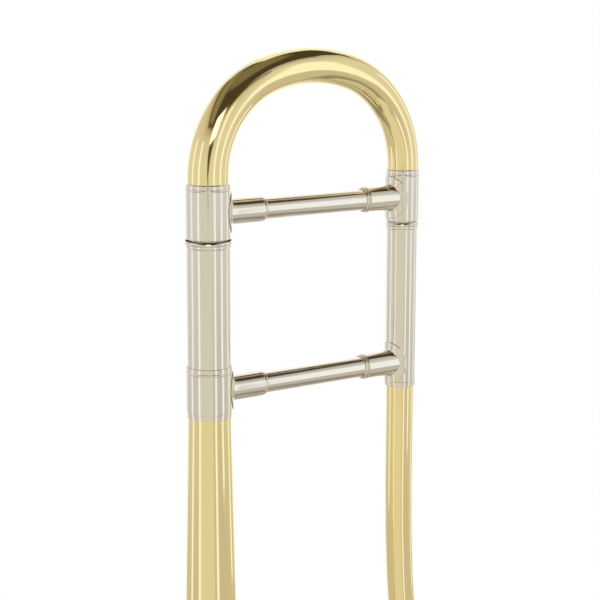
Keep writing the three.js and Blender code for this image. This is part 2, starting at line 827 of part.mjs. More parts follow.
function buildValves() {
  const casing = casingSolid();
  const piston = pistonSolid();
  const spring = springGeometry();
  const topCap = revolve(topCapProfile(), valveSides, X);
  const bottomCap = revolve(bottomCapProfile(), valveSides, X);
  const button = revolve(buttonProfile(), valveSides, X);
  valveHeights.forEach((height, place) => {
    const number = place + 1;
    const valve = new THREE.Group();
    valve.position.set(0, 0, height);
    trombone.add(valve);
    addPiece(`valve_casing_${number}`, casing, 'brass', valve);
    addPiece(`top_cap_${number}`, topCap, 'nickelSilver', valve);
    addPiece(`bottom_cap_${number}`, bottomCap, 'nickelSilver', valve);
    addPiece(`piston_${number}`, piston, 'nickelSilver', valve);
    addPiece(`finger_button_${number}`, button, 'silver', valve);
    addPiece(`piston_spring_${number}`, spring, 'steel', valve);
  });
}

// Valve slides: a fixed pair of outer tubes and a crook that pulls out

const slides = [
  { name: 'first', valve: 0, way: Z, outerLeg: firstOuterLeg, insert: firstInsert, leg: firstLeg },
  { name: 'second', valve: 1, way: left, outerLeg: secondOuterLeg, insert: secondInsert, leg: secondLeg },
  { name: 'third', valve: 2, way: down, outerLeg: thirdOuterLeg, insert: thirdInsert, leg: thirdLeg },
];

// Where a slide's straight legs start, at the end of the elbow or on the casing's face.
function legStart(x, { valve, way }) {
  const height = valveHeights[valve];
  if (way === left) return vec(x, -casingRadius, height);
  return vec(x, slideLegsY, height + way.z * slideElbowRadius);
}

function buildSlideTubes(slide) {
  const { name, valve, way, outerLeg } = slide;
  const height = valveHeights[valve];
  const inside = (casingRadius + casingBore) / 2;
  const legs = slideLegsX.map((x) => {
    const elbow = way === left ? [] : [
      { radius: slideElbowRadius, angle: -way.z * Math.PI / 2, steps: pipeBendSteps },
    ];
    const moves = [{ run: casingRadius - inside }, ...elbow, { run: outerLeg }];
    const stations = route(vec(x, -inside, height), left, X, moves);
    return sweep(stations, X, smallSides, () => slideOuterRadius, () => slideOuterRadius - slideOuterWall);
  });
  const tie = legStart(slideLegsX[0], slide).addScaledVector(way, outerLeg - tieInset);
  const bar = rod(tieRadius, 0, slideLegSpacing, smallSides, X, tie);
  const bores = slideLegsX.map((x) => {
    const start = legStart(x, slide);
    return rod(slideOuterRadius - slideOuterWall, 0, outerLeg + cutOverrun, smallSides, way, start);
  });
  const barOnly = without(toSolid(bar), bores);
  const pair = joined(legs).add(barOnly);
  const saddled = without(pair, [grownCasing(height)(saddleGap)]);
  addPiece(`${name}_slide_outer_tubes`, fromSolid(saddled), 'nickelSilver');
}

function buildCrook(slide) {
  const { name, way, outerLeg, insert, leg } = slide;
  const innerRadius = slideOuterRadius - slideOuterWall - runningGap;
  const ferruleFrom = insert + runningGap;
  const ferruleTo = ferruleFrom + crookFerruleLength;
  const legLength = leg - outerLeg + insert;
  const normal = new THREE.Vector3().crossVectors(way, X);
  const start = legStart(slideLegsX[0], slide).addScaledVector(way, outerLeg - insert);
  const stations = route(start, way, normal, [
    { run: ferruleFrom },
    { run: crookFerruleLength },
    { run: legLength - ferruleTo },
    { radius: slideLegSpacing / 2, angle: Math.PI, steps: 2 * pipeBendSteps },
    { run: legLength - ferruleTo },
    { run: crookFerruleLength },
    { run: ferruleFrom },
  ]);
  const radiusAt = (along, total) => {
    const fromEnd = Math.min(along, total - along);
    const leaving = along < total / 2;
    const order = (radii) => (leaving ? radii : [...radii].reverse());
    if (Math.abs(fromEnd - ferruleFrom) < weldDistance) return order([innerRadius, crookFerruleRadius]);
    if (Math.abs(fromEnd - ferruleTo) < weldDistance) return order([crookFerruleRadius, crookRadius]);
    return fromEnd < ferruleFrom ? innerRadius : crookRadius;
  };
  const crook = sweep(stations, normal, smallSides, radiusAt, () => innerRadius - crookWall);
  addPiece(`${name}_slide_crook`, crook, 'brass');
}

// Water key on the lead side of the front bow, in a group turned to face outwards

function buildWaterKey() {
  const key = new THREE.Group();
  key.position.set(leadPipeX, leadSideY, keyHeight);
  key.rotation.z = Math.atan2(leadSideY, leadSideX);
  trombone.add(key);
  const pipe = rod(pipeRadius + saddleGap, -2 * keyPadDrop, 2 * keyPadDrop, pipeSides);
  const box = (x0, x1, halfWidth, z0, z1) => {
    const block = new THREE.BoxGeometry(x1 - x0, 2 * halfWidth, z1 - z0);
    block.translate((x0 + x1) / 2, 0, (z0 + z1) / 2);
    return closed(block);
  };
  const earInside = keyLeverWidth / 2 + runningGap;
  const earOutside = earInside + keyEarThickness;
  const baseTop = pipeRadius + keyBaseThickness;
  const ears = without(
    toSolid(box(
      pipeRadius / 2, keyPivotReach + keyBarrelRadius, earOutside, -keyEarHeight / 2, keyEarHeight / 2,
    )),
    [box(baseTop, keyPivotReach + keyBarrelRadius + cutOverrun, earInside,
      -keyEarHeight, keyEarHeight)],
  );
  const pinReach = earOutside + keyPinOverhang;
  const pivot = vec(keyPivotReach, 0, 0);
  const pin = rod(keyPinRadius, -pinReach, pinReach, smallSides, Y, pivot);
  addPiece('water_key_saddle', fromSolid(without(ears.add(toSolid(pin)), [pipe])), 'nickelSilver', key);

  const nippleFoot = vec(0, 0, -keyPadDrop);
  const nippleTop = pipeRadius + keyNippleLength;
  const nipple = tube(keyNippleRadius, keyNippleBore, pipeRadius / 2, nippleTop, smallSides, X, nippleFoot);
  addPiece('water_key_nipple', fromSolid(without(toSolid(nipple), [pipe])), 'nickelSilver', key);

  const half = keyLeverThickness / 2;
  const outline = new THREE.Shape([
    new THREE.Vector2(keyPivotReach - half, -keyPadDrop - keyPadRadius / 2),
    new THREE.Vector2(keyPivotReach + half, -keyPadDrop - keyPadRadius / 2),
    new THREE.Vector2(keyPivotReach + half, 0),
    new THREE.Vector2(keyTipReach + half, keyTipRise),
    new THREE.Vector2(keyTipReach - half, keyTipRise),
    new THREE.Vector2(keyPivotReach - half, 0),
  ]);
  const arm = new THREE.ExtrudeGeometry(outline, { depth: keyLeverWidth, bevelEnabled: false });
  arm.rotateX(Math.PI / 2);
  arm.translate(0, keyLeverWidth / 2, 0);
  const barrel = rod(keyBarrelRadius, -keyLeverWidth / 2, keyLeverWidth / 2, smallSides, Y, pivot);
  const pad = rod(keyPadRadius, nippleTop + runningGap, keyPivotReach, smallSides, X, nippleFoot);
  const bore = rod(keyPinRadius + runningGap, -keyLeverWidth, keyLeverWidth, smallSides, Y, pivot);
  const lever = without(joined([closed(arm), barrel, pad]), [bore]);
  addPiece('water_key_lever', fromSolid(lever), 'nickelSilver', key);
}

buildBellFlare();
buildBellStem();
buildLowerFerrule();
buildOuterTube('outer_slide_tube_bell', 0, innerTubeRadiusBell);
buildOuterTube('outer_slide_tube_neck', legSpacing, innerTubeRadiusNeck);
buildBrace('lower_brace', lowerBraceHeight, lowerFerruleRadius, outerTubeRadiusNeck);
buildNeckPipe();
buildKnuckles();
buildStays();
buildTuningBow();
buildUpperFerrule('upper_ferrule_bell', 0, ferruleRadiusBell, bowRadiusBell, innerTubeRadiusBell);
buildUpperFerrule('upper_ferrule_neck', legSpacing, ferruleRadiusNeck, bowRadiusNeck, innerTubeRadiusNeck);
buildInnerTube('inner_slide_tube_bell', 0, innerTubeRadiusBell);
buildInnerTube('inner_slide_tube_neck', legSpacing, innerTubeRadiusNeck);
buildBrace('upper_brace', upperBraceHeight, ferruleRadiusBell, ferruleRadiusNeck);
buildValves();
slides.forEach(buildSlideTubes);
slides.forEach(buildCrook);
buildFront();
buildReceiver();
buildMouthpiece();
buildWaterKey();

export default trombone;
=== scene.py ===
"""Valve trombone: the polished pieces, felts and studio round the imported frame, in metres with +Z up."""

import json
import math

import bmesh
import bpy
from bpy.props import FloatProperty, FloatVectorProperty, IntProperty
from mathutils import Matrix, Quaternion, Vector

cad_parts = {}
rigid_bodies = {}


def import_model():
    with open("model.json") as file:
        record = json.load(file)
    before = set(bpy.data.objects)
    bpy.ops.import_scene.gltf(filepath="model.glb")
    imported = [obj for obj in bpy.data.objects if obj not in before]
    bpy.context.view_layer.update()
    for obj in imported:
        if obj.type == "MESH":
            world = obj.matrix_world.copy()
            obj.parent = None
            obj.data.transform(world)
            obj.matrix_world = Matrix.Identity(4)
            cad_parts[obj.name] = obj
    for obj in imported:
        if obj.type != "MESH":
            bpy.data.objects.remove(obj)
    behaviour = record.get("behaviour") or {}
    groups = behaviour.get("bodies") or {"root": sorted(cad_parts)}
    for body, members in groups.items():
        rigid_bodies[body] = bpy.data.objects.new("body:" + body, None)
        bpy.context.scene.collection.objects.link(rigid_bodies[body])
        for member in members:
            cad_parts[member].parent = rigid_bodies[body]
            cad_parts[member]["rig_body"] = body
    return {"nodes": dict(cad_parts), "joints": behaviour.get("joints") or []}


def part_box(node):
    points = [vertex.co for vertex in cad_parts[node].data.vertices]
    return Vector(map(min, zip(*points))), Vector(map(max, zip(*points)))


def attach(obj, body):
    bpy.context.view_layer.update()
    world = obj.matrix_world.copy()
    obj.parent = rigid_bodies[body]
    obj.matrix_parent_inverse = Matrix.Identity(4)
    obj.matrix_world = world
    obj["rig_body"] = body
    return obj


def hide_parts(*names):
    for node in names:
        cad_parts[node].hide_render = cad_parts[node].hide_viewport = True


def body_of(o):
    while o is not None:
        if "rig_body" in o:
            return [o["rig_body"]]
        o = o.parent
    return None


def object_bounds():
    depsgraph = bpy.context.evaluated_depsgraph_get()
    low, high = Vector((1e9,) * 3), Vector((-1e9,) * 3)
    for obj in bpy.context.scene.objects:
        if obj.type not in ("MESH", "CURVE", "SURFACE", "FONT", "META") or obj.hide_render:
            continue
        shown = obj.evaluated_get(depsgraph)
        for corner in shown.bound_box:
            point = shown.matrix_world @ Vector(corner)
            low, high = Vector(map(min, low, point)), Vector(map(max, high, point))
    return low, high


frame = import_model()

bl_info = {
    "name": "Valve trombone",
    "version": (1, 0, 0),
    "blender": (4, 5, 0),
    "location": "3D View > Sidebar > Trombone",
    "description": "Builds the finished pieces of a valve trombone round its frame",
    "category": "Add Mesh",
}

CAD_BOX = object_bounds()

X = Vector((1, 0, 0))
Y = Vector((0, 1, 0))
Z = Vector((0, 0, 1))

# Sides of the turned and bent pieces
FLARE_SIDES = 192
WIDE_SIDES = 128
LEG_SIDES = 96
VALVE_SIDES = 72
CORK_SIDES = 64
SMALL_SIDES = 48
PIN_SIDES = 32
# Steps along the curves
FLARE_STEPS = 90
CORNER_STEPS = 4
FLANGE_STEPS = 6
BEND_STEP = math.radians(2)
RUN_STEP = 0.004
# An edge sharper than this stays sharp, and a profile's corner softer than this isn't rounded
SHARP_EDGE = math.radians(38)
SOFT_TURN = math.radians(14)
WELD = 1e-7
# A corner's round takes at most this share of the line on either side of it, and a longer line of this many
# rounds gets a holding point
CORNER_REACH_SHARE = 0.4
HOLDING_ROUNDS = 4
# Where the cut corner of a thin edge is, as a share of the edge
CUT_SHARE = 0.3


def size(name, description, default):
    """A length that a user can change."""
    return FloatProperty(name=name, description=description, default=default, min=0, unit="LENGTH",
                         subtype="DISTANCE", precision=5)


def share(name, description, default):
    """A plain number that a user can change."""
    return FloatProperty(name=name, description=description, default=default, min=0)


def colour(name, description, default):
    """A colour that a user can change."""
    return FloatVectorProperty(name=name, description=description, default=default, size=3, min=0, max=1,
                               subtype="COLOR")


class TromboneTubes(bpy.types.PropertyGroup):
    """Sizes of the drawn tubes, their ferrules and rings."""
    wall: size("Tube wall", "Thickness of the drawn tubes", 0.00045)
    edge: size("Edge round", "Round on the turned edges", 0.00018)
    ferrule_chamfer: size("Ferrule chamfer", "Chamfer at the ends of a ferrule", 0.0003)
    # The dark seam is painted shade: a near-black ring in the gap at the bell-side slide tube's mouth, where
    # the contact's shadow falls
    seam_width: size("Seam width", "Width of the dark seam at a slide's mouth", 0.00028)
    seam_share: share("Seam height", "Height of the seam over the tube, as a share of its ring", 0.45)
    bead_inset: size("Bead inset", "Distance from a ferrule's end to its bead", 0.0026)
    bead_proud: size("Bead height", "How far a ferrule's bead stands proud", 0.00022)
    bead_width: size("Bead width", "Width of a ferrule's bead", 0.0010)
    ring_proud: size("Ring height", "How far the ring at a slide tube's mouth stands proud", 0.00075)
    ring_width: size("Ring width", "Width of the ring at a slide tube's mouth", 0.0034)
    receiver_band: size("Receiver band", "Width of the bands turned on the mouthpiece receiver", 0.003)
    receiver_gap: size("Receiver gap", "Gap between the mouthpiece's shank and its receiver", 0.0003)
    foot_band: size("Foot band", "Width of the reduced band at a ferrule's foot", 0.0024)
    foot_step: size("Foot step", "Depth of the step at a ferrule's foot", 0.00025)
    bow_straight: size("Bow straight", "Straight part of the bow above its ferrules", 0.0025)
    bow_shoulder: size("Bow shoulder", "Bend radius of the bow's shoulder over each leg", 0.047)
    bow_shoulder_share: share("Shoulder share", "Share of a quarter turn that a shoulder takes", 0.8)
    bow_taper: share("Bow taper", "Power of the bow's taper from the bell side", 1.2)
    neck_straight: size("Neck straight", "Straight part of the neck pipe under its slide tube", 0.050)
    neck_upper_bend: size("Neck upper bend", "Radius of the neck pipe's long upper bend", 0.750)
    neck_lower_bend: size("Neck lower bend", "Radius of the neck pipe's lower bend", 0.150)


class TromboneBell(bpy.types.PropertyGroup):
    """Sizes of the bell."""
    bore_base: size("Stem bore", "Bore radius at the stem's top before the flare is added", 0.00805)
    taper: share("Stem taper", "Growth of the bore radius for each unit of length", 0.0187)
    flare_offset: size("Flare offset", "Offset of the flare's curve below the rim", 0.025)
    flare_power: share("Flare power", "Power of the flare's curve", 1.3)
    rim_radius: size("Rim radius", "Radius at the middle of the rolled rim", 0.102)
    rim_bead: size("Rim bead", "Radius of the rolled rim's wire", 0.0016)
    wall: size("Bell wall", "Thickness of the bell", 0.0005)
    lap: size("Joint lap", "How far the stem laps over the flare", 0.014)
    lap_slope: size("Joint slope", "Length of the slope above the lap", 0.003)
    spigot: size("Spigot", "Length of the stem's end inside the slide tube", 0.012)


class TromboneBraces(bpy.types.PropertyGroup):
    """Sizes of the braces, stays and their flanges."""
    flange_radius: size("Flange radius", "Radius of a brace flange, measured along the tube it wraps", 0.0103)
    stay_flange_radius: size("Stay flange radius", "Radius of a stay's flange", 0.007)
    flange_thickness: size("Flange thickness", "Thickness of a flange at its rim", 0.0005)
    seat_gap: size("Seat gap", "Solder between a flange and its tube", 0.0001)
    fillet: size("Fillet", "Hollow round between a flange and its sleeve", 0.0009)
    socket_radius: size("Socket radius", "Radius of a brace socket's sleeve", 0.0061)
    bead_radius: size("Bead radius", "Radius of the bead at a socket's mouth", 0.00575)
    bead_width: size("Bead width", "Width of the bead at a socket's mouth", 0.0016)
    socket_round: size("Socket round", "Round where a socket's sleeve ends", 0.0006)
    tube_radius: size("Brace radius", "Radius of a brace tube", 0.005)
    insert: size("Brace insert", "How far a brace tube goes into its socket", 0.009)
    stay_radius: size("Stay radius", "Radius of a stay", 0.004)
    stay_bead: size("Stay bead", "Height of the beads turned on a stay", 0.0008)


class TromboneValves(bpy.types.PropertyGroup):
    """Sizes of the valves and their slides."""
    casing_bore: size("Casing bore", "Bore radius of a valve casing", 0.0098)
    knurl_depth: size("Knurl depth", "Depth of the knurling on the caps", 0.00022)
    knurl_teeth: IntProperty(name="Knurl teeth", description="Teeth round a cap", default=90, min=12)
    cap_wall: size("Cap wall", "Wall of the valve caps", 0.0025)
    cap_shoulder: size("Cap shoulder", "Width of the rounded shoulder on a top cap", 0.0037)
    vent_radius: size("Vent radius", "Radius of a bottom cap's vent", 0.0025)
    stem_radius: size("Stem radius", "Radius of a valve stem", 0.003)
    button_dish: size("Button dish", "Depth of the seat for the button's inlay", 0.0006)
    inlay_radius: size("Inlay radius", "Radius of the shell inlay in a button", 0.0074)
    inlay_crown: size("Inlay crown", "How far the shell inlay is crowned", 0.0007)
    felt_thickness: size("Felt thickness", "Thickness of the felt under a button", 0.0012)
    felt_radius: size("Felt radius", "Radius of the felt under a button", 0.0078)
    slide_spacing: size("Slide spacing", "Distance between the legs of a valve slide", 0.034)
    slide_elbow: size("Slide elbow", "Bend radius of a valve slide's elbow", 0.015)
    slide_radius: size("Slide radius", "Radius of a valve slide's outer tube", 0.0073)
    slide_wall: size("Slide wall", "Wall of a valve slide's tubes", 0.0005)
    slide_gap: size("Slide gap", "Running gap of a valve slide", 0.0003)
    slide_ring_width: size("Slide ring", "Width of the ring at a valve slide's mouth", 0.0039)
    crook_radius: size("Crook radius", "Radius of a valve slide's crook", 0.007)
    crook_ferrule_length: size("Crook ferrule", "Length of a crook's ferrule", 0.008)
    tie_radius: size("Tie radius", "Radius of the rod that ties a slide's legs", 0.0025)
    tie_inset: size("Tie inset", "Distance from the tie to the slide's mouth", 0.012)


class TromboneKey(bpy.types.PropertyGroup):
    """Sizes of the water key."""
    running_gap: size("Running gap", "Gap between the parts of the water key", 0.0003)
    seat_gap: size("Seat gap", "Solder between the saddle's plate and the pipe", 0.00005)
    plate_margin: size("Plate margin", "How far the saddle's plate reaches past its ears", 0.0016)
    plate_thickness: size("Plate thickness", "Thickness of the saddle's plate", 0.0014)
    plate_edge: size("Plate edge", "Chamfer on the edge of the saddle's plate", 0.0003)
    ear_thickness: size("Ear thickness", "Thickness of an ear of the saddle", 0.0016)
    ear_sink: size("Ear sink", "How far an ear goes into the saddle's plate", 0.0006)
    pin_radius: size("Pin radius", "Radius of the hinge pin", 0.001)
    knob_chamfer: size("Knob chamfer", "Chamfer on the knobs at the ends of the hinge pin", 0.0004)
    barrel_radius: size("Barrel radius", "Radius of the lever's barrel round the hinge pin", 0.0024)
    lever_thickness: size("Lever thickness", "Half the thickness of the lever", 0.0007)
    cork_thickness: size("Cork thickness", "Thickness of the cork and the rim that holds it", 0.0012)
    pad_height: size("Pad height", "Height of the pad cup's straight side over the nipple", 0.0020)
    pad_neck: size("Pad neck", "Distance from the pad cup's shoulder to the level of the pin", 0.0006)
    pad_crown: size("Pad crown", "Distance from the pad cup's top to the level of the pin", 0.0002)


class TromboneFinishes(bpy.types.PropertyGroup):
    """Colours of the finishes."""
    brass: colour("Yellow brass", "Lacquered yellow brass", (0.92, 0.78, 0.42))
    brass_deep: colour("Brass shade", "Brass where the lacquer is thicker", (0.90, 0.73, 0.35))
    nickel: colour("Nickel silver", "Polished nickel silver", (0.80, 0.745, 0.65))
    nickel_deep: colour("Nickel shade", "Nickel silver with a slight tarnish", (0.76, 0.69, 0.58))
    silver: colour("Silver plate", "Polished silver plate", (0.93, 0.92, 0.89))
    silver_deep: colour("Silver shade", "Silver plate with a slight tarnish", (0.88, 0.85, 0.79))
    steel: colour("Spring steel", "Bright drawn wire", (0.60, 0.62, 0.64))
    steel_deep: colour("Steel shade", "Wire under a film of oil", (0.42, 0.43, 0.45))
    felt: colour("Felt", "Wool felt under the buttons", (0.030, 0.030, 0.034))
    cork: colour("Cork", "Cork of the water key", (0.52, 0.35, 0.19))
    # Painted shade: near-black colour of the thin ring set in the gap at the bell-side slide tube's mouth,
    # where the contact's shadow falls
    painted_shade: colour("Painted shade", "Painted shade in the gap at a slide's mouth", (0.022, 0.018, 0.012))
    shell: colour("Shell", "Shell inlay of the buttons", (0.86, 0.87, 0.86))


class TromboneStudio(bpy.types.PropertyGroup):
    """The camera, the floor and the studio cards."""
    camera_place: FloatVectorProperty(name="Camera", description="Where the camera stands", size=3,
                                      default=(-0.39758, -0.62151, 0.7335), subtype="TRANSLATION",
                                      unit="LENGTH")
    camera_turn: FloatProperty(name="Camera turn", description="Turn of the view from +Y towards +X",
                               default=math.radians(35.812), subtype="ANGLE")
    camera_pitch: FloatProperty(name="Camera pitch", description="How far the camera looks down",
                                default=math.radians(10.41), subtype="ANGLE")
    camera_roll: FloatProperty(name="Camera roll", description="How far the camera leans to its left",
                               default=math.radians(0.15), subtype="ANGLE")
    lens: FloatProperty(name="Lens", description="Focal length on a 36 mm sensor", default=99.42, min=1)
    light_place: FloatVectorProperty(name="Soft light", description="Where the light from above hangs",
                                     size=3, default=(-0.8, -0.8, 3.0), subtype="TRANSLATION",
                                     unit="LENGTH")
    light_way: FloatVectorProperty(name="Soft light's way", description="Where the light from above points",
                                   size=3, default=(0.8, 0.8, -2.6), subtype="XYZ")
    light_size: size("Soft light's size", "Side of the soft light from above", 2.5)
    light_power: share("Soft light's power", "Power of the soft light from above in watts", 28.0)
    sky_tone: colour("Sky", "Colour of the even light round the part", (1, 0.99, 0.97))
    sky_power: share("Sky power", "Strength of the even light round the part", 0.75)
    floor_radius: size("Floor radius", "Radius of the pale floor", 2.2)
    floor_gap: size("Floor gap", "Gap between the floor and the part's lowest point", 0.0005)
    room_height: size("Room height", "Height of the mirrored room above the slide", 2.0)
    panel_distance: size("Panel distance", "Distance of the lamps and the window from the slide", 1.6)
    card_cream: colour("Curtain", "Colour of the curtain in front", (0.81, 0.78, 0.69))
    wall_tone: colour("Wall", "Colour of the walls", (0.785, 0.79, 0.775))
    wall_low: colour("Wall foot", "Colour of the walls low down", (0.64, 0.62, 0.57))
    wall_shade: colour("Wall shade", "Colour of the walls in the shade", (0.70, 0.66, 0.59))
    wall_high: colour("Wall head", "Colour of the walls under the ceiling", (0.47, 0.43, 0.36))
    dark_wood: colour("Dark wood", "Colour of the skirting, cornice and easel", (0.13, 0.09, 0.045))
    ceiling_tone: colour("Ceiling", "Colour of the ceiling over the part", (0.21, 0.185, 0.12))
    ceiling_dark: colour("Ceiling shade", "Colour of the ceiling in the shade", (0.07, 0.055, 0.03))
    ceiling_light: colour("Ceiling light", "Colour of the ceiling where it is lit", (0.28, 0.245, 0.16))
    ceiling_edge: colour("Ceiling edge", "Colour of the ceiling at the walls", (0.055, 0.042, 0.012))
    ceiling_pale: colour("Ceiling rim", "Colour of the ceiling over the bright walls", (0.56, 0.55, 0.53))
    ground_tone: colour("Ground", "Colour of the ground", (0.57, 0.58, 0.54))
    ground_middle: colour("Ground middle", "Colour of the ground further out", (0.39, 0.385, 0.35))
    board_tone: colour("Board", "Colour of the pale board right under the part", (0.66, 0.64, 0.57))
    ground_dark: colour("Ground shade", "Colour of the ground round the boards", (0.31, 0.305, 0.27))
    white_tone: colour("White card", "Colour of the white card behind on the left", (0.95, 0.95, 0.94))
    lamp_tone: colour("Lamp", "Colour of the tall lamps", (0.92, 0.97, 1.0))
    back_power: share("Back power", "Brightness of the white sweep behind in the metal", 1.25)
    lamp_power: share("Lamp power", "Brightness of the tall lamps in the metal", 1.2)
    window_power: share("Window power", "Brightness of the window in the metal", 1.9)


def settings(name):
    """One of the property groups of the scene."""
    return getattr(bpy.context.scene, f"trombone_{name}")


class Shade:
    """A node's output that takes part in Python expressions, where each operation adds a Math node."""

    def __init__(self, finish, socket):
        self.finish = finish
        self.socket = socket

    def math(self, operation, first, second):
        """A Math node on two values or links."""
        return self.finish.node("ShaderNodeMath", {"operation": operation}, {0: first, 1: second})

    def __add__(self, other):
        return self.math("ADD", self, other)

    __radd__ = __add__

    def __sub__(self, other):
        return self.math("SUBTRACT", self, other)

    def __rsub__(self, other):
        return self.math("SUBTRACT", other, self)

    def __mul__(self, other):
        return self.math("MULTIPLY", self, other)

    __rmul__ = __mul__

    def __truediv__(self, other):
        return self.math("DIVIDE", self, other)

    def __rtruediv__(self, other):
        return self.math("DIVIDE", other, self)

    def __abs__(self):
        return self.math("ABSOLUTE", self, 0)

    def __gt__(self, other):
        return self.math("GREATER_THAN", self, other)


# Scale, detail and stretch along X, Y and Z of each pattern on a surface
PATTERNS = {
    "cloud": (18, 3, (1, 1, 1)),
    "haze": (70, 4, (1, 1, 1)),
    "buffing": (260, 2, (1, 1, 0.04)),
    "honing": (900, 2, (1, 0.02, 0.02)),
    "fibres": (2600, 6, (1, 1, 1)),
    "lint": (600, 3, (1, 1, 1)),
    # The next pattern only drifts the roughness of the painted shade ring
    "shade_mottle": (500, 3, (1, 1, 1)),
    "pores": (1400, 5, (1, 1, 1)),
    "layers": (90, 4, (1, 0.35, 1)),
    "paper": (40, 3, (1, 1, 1)),
}


class Finish:
    """The node tree of a material or of the world."""

    def __init__(self, owner):
        owner.use_nodes = True
        self.tree = owner.node_tree
        self.tree.nodes.clear()

    def node(self, kind, options=None, values=None, output=0):
        """Adds a node. Its options are set first, then the values or links of its sockets."""
        made = self.tree.nodes.new(kind)
        for key, value in (options or {}).items():
            if key == "stops":
                ramp = made.color_ramp.elements
                while len(ramp) < len(value):
                    ramp.new(1)
                for stop, (place, tone) in zip(ramp, value):
                    stop.position = place
                    stop.color = (*tone, 1)
            else:
                setattr(made, key, value)
        for key, value in (values or {}).items():
            if isinstance(value, Shade):
                self.tree.links.new(value.socket, made.inputs[key])
            else:
                made.inputs[key].default_value = value
        return Shade(self, made.outputs[output]) if made.outputs else None

    def mix(self, factor, first, second):
        """A colour between two, each a colour or a link."""
        tones = [tone if isinstance(tone, Shade) else (*tone, 1) for tone in (first, second)]
        return self.node("ShaderNodeMix", {"data_type": "RGBA"}, {0: factor, 6: tones[0], 7: tones[1]}, 2)

    def place(self, stretch=(1, 1, 1)):
        """The place on the object, stretched along its axes."""
        spot = self.node("ShaderNodeTexCoord", output="Object")
        return self.node("ShaderNodeVectorMath", {"operation": "MULTIPLY"}, {0: spot, 1: stretch})

    def noise(self, pattern):
        """A value between 0 and 1 that drifts over the surface in one of the patterns."""
        scale, detail, stretch = PATTERNS[pattern]
        values = {"Vector": self.place(stretch), "Scale": scale, "Detail": detail}
        return self.node("ShaderNodeTexNoise", {}, values)

    def bump(self, height, strength, distance):
        """A normal bent by a height."""
        values = {"Strength": strength, "Distance": distance, "Height": height}
        return self.node("ShaderNodeBump", {}, values)

    def surface(self, **values):
        """Ends the tree in a Principled shader with the values or links of its sockets."""
        named = {key.replace("_", " "): value for key, value in values.items()}
        shader = self.node("ShaderNodeBsdfPrincipled", {}, named)
        self.node("ShaderNodeOutputMaterial", {}, {"Surface": shader})


def new_finish(name):
    """A new material and its node tree."""
    material = bpy.data.materials.new(name)
    return material, Finish(material)


# Each metal's material, roughness, drift of the roughness and weight of the lacquer
METALS = {
    "brass": ("lacquered_brass", 0.06, 0.05, 0.4),
    "nickel": ("polished_nickel_silver", 0.07, 0.05, 0.0),
    "silver": ("silver_plate", 0.06, 0.06, 0.0),
    "steel": ("spring_steel", 0.22, 0.12, 0.0),
}


def polished_metal(name, tone, deep, roughness, drift, coat):
    """Buffed metal: a slight drift of colour, fine buffing lines and a little haze."""
    material, finish = new_finish(name)
    lines = finish.noise("buffing")
    haze = finish.noise("haze")
    finish.surface(
        Base_Color=finish.mix(finish.noise("cloud") * 0.5, tone, deep),
        Metallic=1.0,
        Roughness=roughness + drift * (haze * 0.6 + lines * 0.4),
        Normal=finish.bump(lines, 0.02, 0.00002),
        Coat_Weight=coat,
        Coat_Roughness=0.03,
    )
    return material


def make_finishes():
    """Every material of the part, by name."""
    tones = settings("finishes")
    made = {metal: polished_metal(name, getattr(tones, metal), getattr(tones, f"{metal}_deep"), *look)
            for metal, (name, *look) in METALS.items()}

    made["piston"], finish = new_finish("honed_piston")
    rings = finish.noise("honing")
    finish.surface(Base_Color=finish.mix(rings * 0.6, tones.nickel, tones.steel), Metallic=1.0,
                   Roughness=0.16 + rings * 0.16, Normal=finish.bump(rings, 0.1, 0.00004))

    made["felt"], finish = new_finish("wool_felt")
    fibres = finish.noise("fibres")
    lint = finish.noise("lint") * fibres
    finish.surface(Base_Color=finish.mix(lint, tones.felt, (0.16, 0.16, 0.17)), Roughness=0.95,
                   Normal=finish.bump(fibres, 0.7, 0.0004), Sheen_Weight=0.4, Sheen_Roughness=0.5)

    # Painted shade: a near-black, rough material for the ring that darkens the gap at a slide's mouth
    made["painted_shade"], finish = new_finish("slide_grease")
    finish.surface(Base_Color=(*tones.painted_shade, 1), Roughness=0.4 + finish.noise("shade_mottle") * 0.3)

    made["cork"], finish = new_finish("pressed_cork")
    grains = finish.node("ShaderNodeTexVoronoi", {}, {"Vector": finish.place(), "Scale": 900}, "Color")
    pores = finish.noise("pores")
    speckle = finish.mix(0.8, (1, 1, 1), grains)
    finish.surface(Base_Color=finish.mix(speckle, (0.30, 0.17, 0.08), tones.cork),
                   Roughness=0.75 + pores * 0.2, Normal=finish.bump(pores, 0.5, 0.0002))

    made["shell"], finish = new_finish("button_shell")
    layers = finish.noise("layers")
    glints = finish.node("ShaderNodeValToRGB", {"stops": [
        (0.30, (0.80, 0.86, 0.82)), (0.45, tones.shell), (0.55, (0.90, 0.83, 0.84)),
        (0.70, (0.80, 0.84, 0.90)),
    ]}, {"Fac": layers})
    finish.surface(Base_Color=glints, Roughness=0.12 + layers * 0.1, Coat_Weight=0.5,
                   Normal=finish.bump(layers, 0.05, 0.0002))
    return made


def turns(sides):
    """The cosine and sine of each step round a circle."""
    return [(math.cos(2 * math.pi * k / sides), math.sin(2 * math.pi * k / sides)) for k in range(sides)]


def side_of(axis):
    """A fixed direction square to an axis along X, Y or Z or level with the floor."""
    return X.copy() if abs(axis.z) > 0.5 else Z.cross(axis).normalized()


def bend(start, corner, end, along):
    """A point on the arc that runs past a corner."""
    return (1 - along) ** 2 * start + 2 * along * (1 - along) * corner + along ** 2 * end


